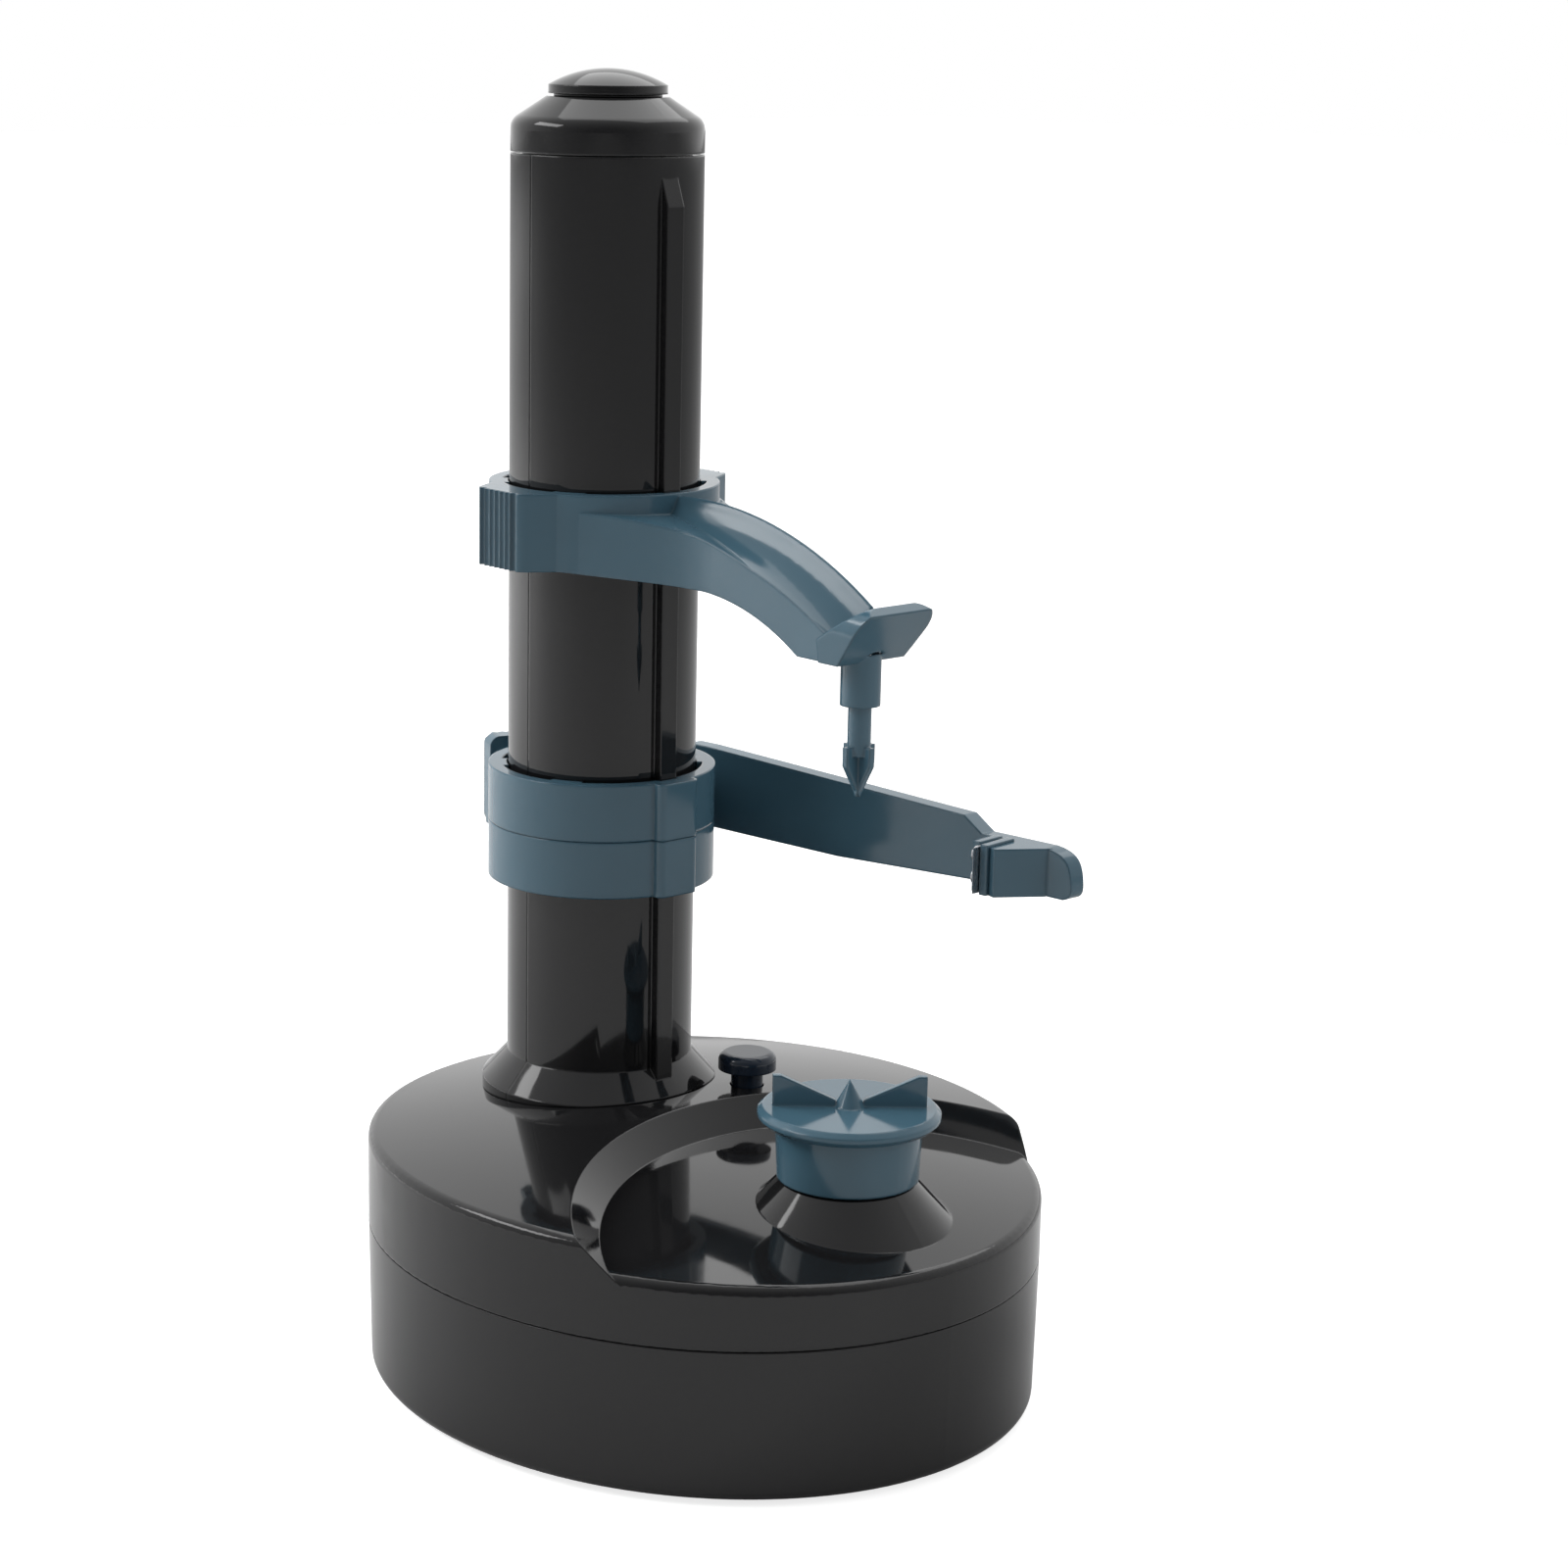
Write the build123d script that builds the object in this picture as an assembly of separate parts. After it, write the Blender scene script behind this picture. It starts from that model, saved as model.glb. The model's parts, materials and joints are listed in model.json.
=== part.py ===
from build123d import *
import os
from math import atan2, cos, degrees, hypot, radians, sin, sqrt, tan

# Electric fruit peeler. Millimetres. The table is Z = 0, X runs from the column to the
# fruit spindle, Y points to the peeling arm's side, and the origin is under the middle of
# the oval base.

os.makedirs("parts", exist_ok=True)

# Gear train: module and tooth counts set the distance between column and spindle.
MODULE = 1.0
SPINDLE_TEETH = 44
IDLER_TEETH = 43
SCREW_TEETH = 40
SMALL_TEETH = 12
LARGE_TEETH = 40
MOTOR_TEETH = 10
GEAR_FACE = 6.0
LARGE_FACE = 4.0
GEAR_LAYER_GAP = 1.0
COMPOUND_ANGLE = -75.0
MOTOR_ANGLE = -60.0

# Base housing
BASE_HALF_LENGTH = 80.6
BASE_HALF_WIDTH = 72.6
FOOT_HEIGHT = 1.0
SEAM_Z = 34.4
SEAM_GAP = 0.3
BASE_DRAFT = 0.6
SHELL_WALL = 2.5
BASE_BOTTOM_FILLET = 2.0
DOME_RADIUS = 450.0
DOME_CENTRE_X = 0.0
DECK_CROWN_Z = 61.7
WELL_DEPTH = 6.5
WELL_CENTRE_X = 70.4
WELL_RADIUS = 67.4
WELL_TOP_RADIUS = 74.1
RIM_FILLET = 2.2

# Column
TOWER_X = -37.0
TOWER_RADIUS = 21.5
TOWER_WALL = 2.5
TOWER_FOOT_Z = 67.4
TOWER_FOOT_RADIUS = 27.25
TOWER_TOP_Z = 273.0
FOOT_SLOPE = 0.92
SPLIT_GAP = 0.2
SPIGOT_BOTTOM_Z = 54.0
RIB_HALF_WIDTH = 2.3
RIB_RADIUS = 23.6
RIB_TOP_Z = 269.0
RIB_LEAD = 6.5
SLOT_WIDTH = 9.0
SLOT_END_ROOM = 3.0
CAP_BAND = 6.8
CAP_SHOULDER_ROUND = 3.4
CAP_TOP_RADIUS = 13.6
CAP_SHOULDER_HEIGHT = 5.2
CAP_WALL = 2.4
CAP_PLUG_LENGTH = 8.0
TOP_BUSH_LENGTH = 5.0
FINIAL_RADIUS = 13.2
FINIAL_RIM = 1.9
FINIAL_DOME = 3.6
FINIAL_STEM_RADIUS = 5.8
FINIAL_STEM_LENGTH = 5.0
SHADOW_GAP = 0.6

# Fits
SLIDE_CLEARANCE = 0.3
SHAFT_CLEARANCE = 0.05
SEAT_CLEARANCE = 0.1

# Sliding rings on the column
RING_BORE_RADIUS = 23.0
RING_RADIUS = 26.0
PAD_HALF_ANGLE = 9.0

# Top holder
HOLDER_Z = 183.2
HOLDER_HEIGHT = 17.2
GRIP_REACH = 30.5
GRIP_HALF_WIDTH = 7.3
GRIP_ROOT_HALF_WIDTH = 11.7
GRIP_CORNER = 3.5
GRIP_RIBS = 8
GRIP_RIB_DEPTH = 0.9
ARM_TOP_RADIUS = 93.2
ARM_TOP_CENTRE_X = -3.7
ARM_TOP_Z = 192.3
ARM_CROWN = 7.8
ARM_CROWN_HALF_WIDTH = 10.6
ARM_HALF_WIDTH = 8.6
ARM_ROOT_X = 11.0
ARM_ROOT_HALF_WIDTH = 23.0
ARM_STRAIGHT_X = 47.0
ARM_SHELF_RADIUS = 152.0
ARM_SHELF_CENTRE_X = -26.0
ARM_SHELF_Z = 196.7
ARM_UNDER_RADIUS = 61.5
ARM_UNDER_CENTRE_X = 4.5
ARM_UNDER_Z = 182.0
ARM_WALL = 2.4
LIP_FOOT = 2.9
LIP_REACH = 11.7
LIP_TOP_Z = 185.2
LIP_BOTTOM_Z = 172.4
LIP_THICKNESS = 2.2
LIP_HALF_WIDTH = 9.6
LIP_TOP_HALF_WIDTH = 11.4
LIP_CORNER = 5.5
BOSS_RADIUS = 4.3
BOSS_BOTTOM_Z = 162.8
BOSS_TOP_Z = 174.0
PIN_RADIUS = 2.5
PIN_TIP_Z = 152.0
SPEAR_LENGTH = 9.0
SPEAR_HALF_WIDTH = 4.0
SPEAR_THICKNESS = 1.4
CLIP_THICKNESS = 1.2
CLIP_RADIUS = 4.4

# Blade carriage
CARRIAGE_Z = 109.5
CARRIAGE_LOWER = 12.9
CARRIAGE_HEIGHT = 26.0
BULGE_RADIUS = 27.9
BULGE_HALF_WIDTH = 5.6
NUT_HEIGHT = 12.0
NUT_WIDTH = 8.0
CARRIAGE_DOWN = 34.0
CARRIAGE_UP = 20.0
PIVOT_DX = -24.0
PIVOT_DY = 24.0
EAR_RADIUS = 5.6
EAR_THICKNESS = 5.0
PIVOT_PIN_RADIUS = 2.0
PIVOT_HEAD_RADIUS = 3.4
PIVOT_HEAD = 0.9
SPRING_WIRE = 0.8
SPRING_RADIUS = 3.6
SPRING_TURNS = 5
SPRING_PITCH = 1.5
SPRING_POCKET_RADIUS = 4.5

# Peeling arm and blade
BAR_THICKNESS = 4.0
BAR_ROOT_X = -42.0
BAR_ROOT_Y = 33.5
BAR_END_X = 69.5
BAR_END_Y = 45.4
BAR_BEND_X = 4.0
BAR_BOTTOM_Z = 115.6
BAR_TOP_Z = 134.6
HEAD_BOTTOM_Z = 117.6
HEAD_TOP_Z = 128.3
HEAD_X = 45.0
HEAD_RISE = 3.4
HEAD_ROUND = 7.0
TAB_X = -72.0
TAB_Y = -6.0
TAB_LENGTH = 15.0
TAB_BOTTOM_Z = 114.4
TAB_TOP_Z = 136.2
TAB_THICKNESS = 3.4
TAB_RIBS = 7
TAB_RIB_DEPTH = 0.8
LEVER_THICKNESS = 3.6
BLADE_X = 51.2
CLIP_HALF_WIDTH = 4.0
CLIP_BACK = 1.6
JAW_HALF_GAP = 0.7
JAW_WIDTH = 1.9
JAW_REACH = 9.4
JAW_PROUD = 0.5
BLADE_THICKNESS = 1.0
BLADE_REACH = 11.6
BLADE_BEVEL = 2.0
BLADE_INSET = 0.4
WEDGE_REACH = 9.2
WEDGE_LENGTH = 9.0
RIVET_RADIUS = 1.0
RIVET_HEAD_RADIUS = 1.8
RIVET_HEAD = 0.6
RIVET_SPACING = 5.0

# Fruit holder and spindle
HOLDER_FLANGE_RADIUS = 19.8
HOLDER_FLANGE_Z = 71.6
HOLDER_FLANGE = 3.2
HOLDER_FLANGE_EDGE = 1.1
HOLDER_TOP_RADIUS = 15.9
HOLDER_FOOT_RADIUS = 15.4
HOLDER_FOOT_Z = 59.0
HOLDER_WALL = 2.6
FIN_REACH = 16.6
FIN_HEIGHT = 6.8
FIN_INNER = 3.0
FIN_INNER_HEIGHT = 1.4
FIN_THICKNESS = 1.8
FIN_ANGLE = 50.0
POINT_RADIUS = 3.4
POINT_HEIGHT = 6.0
COLLAR_RADIUS = 20.6
COLLAR_TOP_RADIUS = 14.9
COLLAR_TOP_Z = 58.5
SPINDLE_RADIUS = 4.0
SPINDLE_TOP_Z = 68.5
SPINDLE_FLAT = 3.0
BUSH_WALL = 1.6
JOURNAL_RADIUS = 3.0

# Gear plate and drive
PLATE_Z = 28.0
PLATE_THICKNESS = 2.5
PLATE_MARGIN = 10.0
GEAR_CLEARANCE = 1.5
AXLE_RADIUS = 3.0
SCREW_RADIUS = 4.5
SCREW_TOP_Z = 264.0
MOTOR_RADIUS = 12.0
MOTOR_LENGTH = 20.0
MOTOR_NECK_RADIUS = 3.5
MOTOR_SHAFT_RADIUS = 1.0
MOTOR_SHAFT_DEPTH = 5.0
MOTOR_EDGE_ROUND = 1.5
CRADLE_HEIGHT = 6.0
CRADLE_WALL = 1.9
CLAMP_RADIUS = 23.0
CLAMP_THICKNESS = 2.5

# Fasteners, feet and switches
POST_RADIUS = 4.0
SCREW_SHANK = 1.5
SCREW_HEAD_RADIUS = 2.8
SCREW_HEAD = 1.6
SCREW_BITE = 8.0
CORNER_X = 46.0
CORNER_Y = 42.0
PLATE_POST_X = 53.0
PLATE_POST_Y = 31.0
FOOT_RADIUS = 6.0
FOOT_RECESS = 0.5
BUTTON_X = -8.0
BUTTON_Y = 20.6
BUTTON_RADIUS = 6.7
BUTTON_STEM_RADIUS = 3.7
BUTTON_UNDER = 4.0
BUTTON_CAP = 4.0
BUTTON_STEM_BELOW = 6.4
BUTTON_TRAVEL = 2.5
SWITCH_LENGTH = 12.0
SWITCH_WIDTH = 6.4
SWITCH_HEIGHT = 8.0

# Batteries
CELL_RADIUS = 7.1
CELL_LENGTH = 50.0
CELL_PITCH = 14.5
CELL_COUNT = 4
CELL_FIRST_Y = 5.25
CONTACT_THICKNESS = 0.6
DOOR_MARGIN = 2.0
BAY_WALL = 1.6
DOOR_GAP = 0.25


# Shared places worked out from the sizes above
def pitch_radius(teeth):
    return teeth * MODULE / 2


SPINDLE_X = TOWER_X + pitch_radius(SPINDLE_TEETH) + 2 * pitch_radius(IDLER_TEETH) + pitch_radius(SCREW_TEETH)
IDLER_X = TOWER_X + pitch_radius(SCREW_TEETH) + pitch_radius(IDLER_TEETH)
COMPOUND_REACH = pitch_radius(IDLER_TEETH) + pitch_radius(SMALL_TEETH)
COMPOUND_X = IDLER_X + COMPOUND_REACH * cos(radians(COMPOUND_ANGLE))
COMPOUND_Y = COMPOUND_REACH * sin(radians(COMPOUND_ANGLE))
MOTOR_REACH = pitch_radius(LARGE_TEETH) + pitch_radius(MOTOR_TEETH)
MOTOR_X = COMPOUND_X + MOTOR_REACH * cos(radians(MOTOR_ANGLE))
MOTOR_Y = COMPOUND_Y + MOTOR_REACH * sin(radians(MOTOR_ANGLE))
PLATE_HALF_LENGTH = BASE_HALF_LENGTH - SHELL_WALL - PLATE_MARGIN
PLATE_HALF_WIDTH = BASE_HALF_WIDTH - SHELL_WALL - PLATE_MARGIN
PLATE_TOP_Z = PLATE_Z + PLATE_THICKNESS
GEAR_Z = PLATE_TOP_Z + GEAR_CLEARANCE
LARGE_Z = GEAR_Z + GEAR_FACE + GEAR_LAYER_GAP
FLOOR_TOP_Z = FOOT_HEIGHT + SHELL_WALL
WELL_CROWN_Z = DECK_CROWN_Z - WELL_DEPTH
PIVOT_X = TOWER_X + PIVOT_DX
PIVOT_Y = PIVOT_DY
CAP_TOP_Z = TOWER_TOP_Z + SEAM_GAP + CAP_BAND + CAP_SHOULDER_HEIGHT
TOWER_BORE = TOWER_RADIUS - TOWER_WALL
SPIGOT_BORE = TOWER_BORE - TOWER_WALL
CLAMP_Z = SPIGOT_BOTTOM_Z - CLAMP_THICKNESS
BUSH_RADIUS = SPINDLE_RADIUS + BUSH_WALL
SCREW_BUSH_RADIUS = SCREW_RADIUS + 2 * BUSH_WALL
NUT_Z = CARRIAGE_Z + (CARRIAGE_HEIGHT - NUT_HEIGHT) / 2
CORNERS = [(sx * CORNER_X, sy * CORNER_Y) for sx in (-1, 1) for sy in (-1, 1)]
PLATE_POSTS = [(sx * PLATE_POST_X, sy * PLATE_POST_Y) for sx in (-1, 1) for sy in (-1, 1)]
BAR_ANGLE = degrees(atan2(BAR_END_Y - BAR_ROOT_Y, BAR_END_X - BAR_ROOT_X))


def dome_z(x, y, crown):
    """Height of the domed deck, or of a surface parallel to it, over a point."""
    return crown - DOME_RADIUS + sqrt(DOME_RADIUS ** 2 - (x - DOME_CENTRE_X) ** 2 - y ** 2)


BUTTON_DECK_Z = dome_z(BUTTON_X, BUTTON_Y, DECK_CROWN_Z)


# Building blocks
def rod(x, y, z0, z1, radius):
    """Upright cylinder between two heights."""
    return Pos(x, y, (z0 + z1) / 2) * Cylinder(radius, z1 - z0)


def tube(x, y, z0, z1, outer, inner):
    return rod(x, y, z0, z1, outer) - rod(x, y, z0 - 1, z1 + 1, inner)


def block(x0, x1, y0, y1, z0, z1):
    return Pos((x0 + x1) / 2, (y0 + y1) / 2, (z0 + z1) / 2) * Box(x1 - x0, y1 - y0, z1 - z0)


def turned(points, x, y=0.0):
    """Solid of revolution about an upright axis, from (radius, height) corners."""
    profile = Plane.XZ * make_face(Polyline(*points, close=True))
    return Pos(x, y, 0) * revolve(profile, Axis.Z)


def oval(z, grow=0.0):
    return Pos(0, 0, z) * Ellipse(BASE_HALF_LENGTH + grow, BASE_HALF_WIDTH + grow)


def ball(crown):
    """Ball whose top is the dome with this crown height; its poles lie along Y."""
    return Pos(DOME_CENTRE_X, 0, crown - DOME_RADIUS) * Rot(90, 0, 0) * Sphere(DOME_RADIUS)


def domed(crown, grow, rim=0.0):
    """Oval body from the parting line up to a dome, with a rounded rim."""
    bottom = SEAM_Z + SEAM_GAP
    body = extrude(oval(bottom, grow), crown + 1 - bottom) & ball(crown)
    if rim > 0:
        top = [e for e in body.edges() if e.center().Z > bottom + 1 and e.bounding_box().min.Z > bottom + 1]
        body = fillet(top, rim)
    return body


def gear(x, y, z0, teeth, face, phase, bore):
    """Spur gear with straight-flanked teeth; phase is a tooth's direction in degrees."""
    radius = pitch_radius(teeth)
    root, tip = radius - 1.2 * MODULE, radius + 0.85 * MODULE
    pitch = 360 / teeth
    points = []
    for i in range(teeth):
        centre = phase + i * pitch
        for r, share in ((root, -0.30), (tip, -0.11), (tip, 0.11), (root, 0.30)):
            a = radians(centre + share * pitch)
            points.append((r * cos(a), r * sin(a)))
    outline = make_face(Polyline(*points, close=True)) - Circle(bore)
    return Pos(x, y, z0) * extrude(outline, face)


def meshed_phase(angle, phase, teeth, other_teeth):
    """Phase of the gear that meshes, in the given direction, with a gear of this phase."""
    pitch, other_pitch = 360 / teeth, 360 / other_teeth
    return angle + 180 - other_pitch * (0.5 - (angle - phase) / pitch)


SPINDLE_PHASE = 180.0
IDLER_PHASE = meshed_phase(180, SPINDLE_PHASE, SPINDLE_TEETH, IDLER_TEETH)
SCREW_PHASE = meshed_phase(180, IDLER_PHASE, IDLER_TEETH, SCREW_TEETH)
COMPOUND_PHASE = meshed_phase(COMPOUND_ANGLE, IDLER_PHASE, IDLER_TEETH, SMALL_TEETH)
MOTOR_PHASE = meshed_phase(MOTOR_ANGLE, COMPOUND_PHASE, LARGE_TEETH, MOTOR_TEETH)


# Base
def well_cone(grow=0.0):
    """Sloped wall of the sunk well: a cone whose axis stands square to the domed deck."""
    floor_ball = DOME_RADIUS - WELL_DEPTH
    floor_at = sqrt(floor_ball ** 2 - WELL_RADIUS ** 2)
    deck_at = sqrt(DOME_RADIUS ** 2 - WELL_TOP_RADIUS ** 2)
    slope = (WELL_TOP_RADIUS - WELL_RADIUS) / (deck_at - floor_at)
    low, high = floor_at - 2 * RIM_FILLET, DOME_RADIUS + 1
    low_radius = WELL_RADIUS + grow + (low - floor_at) * slope
    high_radius = WELL_RADIUS + grow + (high - floor_at) * slope
    tilt = degrees(atan2(WELL_CENTRE_X - DOME_CENTRE_X, floor_at))
    cone = Pos(0, 0, (low + high) / 2) * Cone(low_radius, high_radius, high - low)
    return Pos(DOME_CENTRE_X, 0, DECK_CROWN_Z - DOME_RADIUS) * Rot(0, tilt, 0) * cone


def base_upper_shell():
    outer = (domed(DECK_CROWN_Z, 0, RIM_FILLET) - well_cone()) + domed(WELL_CROWN_Z, 0, RIM_FILLET)
    inner = domed(DECK_CROWN_Z - SHELL_WALL, -SHELL_WALL) - well_cone(1.4 * SHELL_WALL)
    inner += domed(WELL_CROWN_Z - SHELL_WALL, -SHELL_WALL)
    shell = outer - inner
    # cone that the fruit holder turns on, with the bearing tube under it
    slope = (COLLAR_RADIUS - COLLAR_TOP_RADIUS) / (COLLAR_TOP_Z - dome_z(SPINDLE_X, 0, WELL_CROWN_Z))
    low = dome_z(SPINDLE_X + COLLAR_RADIUS, 0, WELL_CROWN_Z) - SHELL_WALL / 2
    low_radius = COLLAR_TOP_RADIUS + slope * (COLLAR_TOP_Z - low)
    collar = Cone(low_radius, COLLAR_TOP_RADIUS, COLLAR_TOP_Z - low)
    shell += Pos(SPINDLE_X, 0, (low + COLLAR_TOP_Z) / 2) * collar
    shell += rod(SPINDLE_X, 0, LARGE_Z + LARGE_FACE + 1, low + 1, BUSH_RADIUS + SHELL_WALL)
    shell -= rod(SPINDLE_X, 0, LARGE_Z, COLLAR_TOP_Z + 1, BUSH_RADIUS)
    # seat under the deck for the column's clamp ring
    seat = rod(TOWER_X, 0, SPIGOT_BOTTOM_Z, DECK_CROWN_Z, CLAMP_RADIUS)
    shell += seat & ball(DECK_CROWN_Z - SHELL_WALL / 2)
    shell -= rod(TOWER_X, 0, SPIGOT_BOTTOM_Z - 1, DECK_CROWN_Z + 1, TOWER_BORE + SEAT_CLEARANCE)
    # screw bosses hang from the roof down to the parting line
    for x, y in CORNERS:
        crown = WELL_CROWN_Z if x > 0 else DECK_CROWN_Z
        shell += rod(x, y, SEAM_Z + SEAM_GAP, crown, POST_RADIUS) & ball(crown - SHELL_WALL / 2)
        shell -= rod(x, y, SEAM_Z, crown - 3 * SHELL_WALL, SCREW_SHANK)
    # hanging ribs that grip the start switch by its ends
    for side in (-1, 1):
        end = SWITCH_LENGTH / 2
        x0, x1 = sorted((BUTTON_X + side * end, BUTTON_X + side * (end + BAY_WALL)))
        half = SWITCH_WIDTH / 2
        rib = block(x0, x1, BUTTON_Y - half, BUTTON_Y + half, switch_base_z(), DECK_CROWN_Z)
        shell += rib & ball(DECK_CROWN_Z - SHELL_WALL / 2)
    shell -= rod(BUTTON_X, BUTTON_Y, SEAM_Z, DECK_CROWN_Z + 1, BUTTON_STEM_RADIUS + SLIDE_CLEARANCE)
    return shell


def bay_span():
    y0 = CELL_FIRST_Y - CELL_PITCH / 2 - DOOR_MARGIN / 2
    y1 = CELL_FIRST_Y + (CELL_COUNT - 0.5) * CELL_PITCH + DOOR_MARGIN / 2
    x1 = CELL_LENGTH / 2 + CONTACT_THICKNESS + DOOR_MARGIN
    return x1, y0, y1


def base_lower_shell():
    skin = loft([oval(FOOT_HEIGHT, -BASE_DRAFT), oval(SEAM_Z)])
    skin = fillet(skin.edges().sort_by(Axis.Z)[0], BASE_BOTTOM_FILLET)
    inside = loft([oval(FLOOR_TOP_Z, -BASE_DRAFT - SHELL_WALL), oval(SEAM_Z + 1, -SHELL_WALL)])
    shell = skin - inside
    for x, y in CORNERS:
        shell += rod(x, y, FLOOR_TOP_Z - 1, SEAM_Z, POST_RADIUS)
        shell -= rod(x, y, 0, SEAM_Z + 1, SCREW_SHANK + SHAFT_CLEARANCE)
        shell -= rod(x, y, 0, FOOT_HEIGHT + FOOT_RECESS, FOOT_RADIUS + SEAT_CLEARANCE)
        shell -= rod(x, y, 0, FOOT_HEIGHT + FOOT_RECESS + SCREW_HEAD, SCREW_HEAD_RADIUS + SEAT_CLEARANCE)
    for x, y in PLATE_POSTS:
        shell += rod(x, y, FLOOR_TOP_Z - 1, PLATE_Z, POST_RADIUS)
        shell -= rod(x, y, PLATE_Z / 2, PLATE_Z + 1, SCREW_SHANK)
    # motor cradle ring and battery bay
    seat = MOTOR_RADIUS + SEAT_CLEARANCE
    shell += tube(MOTOR_X, MOTOR_Y, FLOOR_TOP_Z - 1, FLOOR_TOP_Z + CRADLE_HEIGHT, seat + CRADLE_WALL, seat)
    x1, y0, y1 = bay_span()
    bay_top = FLOOR_TOP_Z + CELL_RADIUS
    for sx in (-1, 1):
        wall_x = sx * (CELL_LENGTH / 2 + CONTACT_THICKNESS + SEAT_CLEARANCE)
        outer_x = wall_x + sx * (BAY_WALL + DOOR_MARGIN)
        low, high = sorted((wall_x, outer_x))
        shell += block(low, high, y0 - BAY_WALL, y1 + BAY_WALL, FLOOR_TOP_Z - 1, bay_top)
    shell -= block(-x1, x1, y0, y1, 0, FLOOR_TOP_Z)
    return shell


def battery_door():
    x1, y0, y1 = bay_span()
    gap = DOOR_GAP
    door = block(-x1 + gap, x1 - gap, y0 + gap, y1 - gap, FOOT_HEIGHT, FLOOR_TOP_Z)
    notch_y = y1 - 3 * DOOR_MARGIN
    grip = block(-3 * DOOR_MARGIN, 3 * DOOR_MARGIN, notch_y, notch_y + DOOR_MARGIN, 0, FOOT_HEIGHT + 1)
    return door - grip


def battery_cells():
    cells = []
    for i in range(CELL_COUNT):
        y = CELL_FIRST_Y + i * CELL_PITCH
        side = 1 if i % 2 == 0 else -1
        z = FLOOR_TOP_Z + SEAT_CLEARANCE + CELL_RADIUS
        can = Pos(-side * 0.5, y, z) * Rot(0, 90, 0) * Cylinder(CELL_RADIUS, CELL_LENGTH - 1)
        cells.append(can + Pos(side * (CELL_LENGTH - 1) / 2, y, z) * Rot(0, 90, 0) * Cylinder(2.6, 1))
    return Compound(children=cells)


def battery_contacts():
    _, y0, y1 = bay_span()
    plates = []
    for sx in (-1, 1):
        x0, x1 = sorted((sx * CELL_LENGTH / 2, sx * (CELL_LENGTH / 2 + CONTACT_THICKNESS)))
        z0 = FLOOR_TOP_Z + SEAT_CLEARANCE
        plates.append(block(x0, x1, y0 + BAY_WALL, y1 - BAY_WALL, z0, FLOOR_TOP_Z + CELL_RADIUS * 1.6))
    return Compound(children=plates)


def rubber_feet():
    top = FOOT_HEIGHT + FOOT_RECESS
    feet = []
    for x, y in CORNERS:
        pad = rod(x, y, 0, top, FOOT_RADIUS)
        feet.append(chamfer(pad.edges().sort_by(Axis.Z)[0], FOOT_RECESS))
    return Compound(children=feet)


def screw_group(places, head_z, up, length):
    """Pan-head screws: heads outside head_z, shanks running the other way."""
    group = []
    for x, y in places:
        if up:
            head = rod(x, y, head_z - SCREW_HEAD, head_z, SCREW_HEAD_RADIUS)
            shank = rod(x, y, head_z, head_z + length, SCREW_SHANK)
        else:
            head = rod(x, y, head_z, head_z + SCREW_HEAD, SCREW_HEAD_RADIUS)
            shank = rod(x, y, head_z - length, head_z, SCREW_SHANK)
        group.append(head + shank)
    return Compound(children=group)


def base_screws():
    head_z = FOOT_HEIGHT + FOOT_RECESS + SCREW_HEAD
    return screw_group(CORNERS, head_z, True, SEAM_Z + 2 * POST_RADIUS - head_z)


# Column
CLAMP_RING = (SPIGOT_BORE - SCREW_HEAD_RADIUS) / sqrt(2)
CLAMP_POSTS = [(TOWER_X + sx * CLAMP_RING, sy * CLAMP_RING) for sx in (-1, 1) for sy in (-1, 1)]


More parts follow.
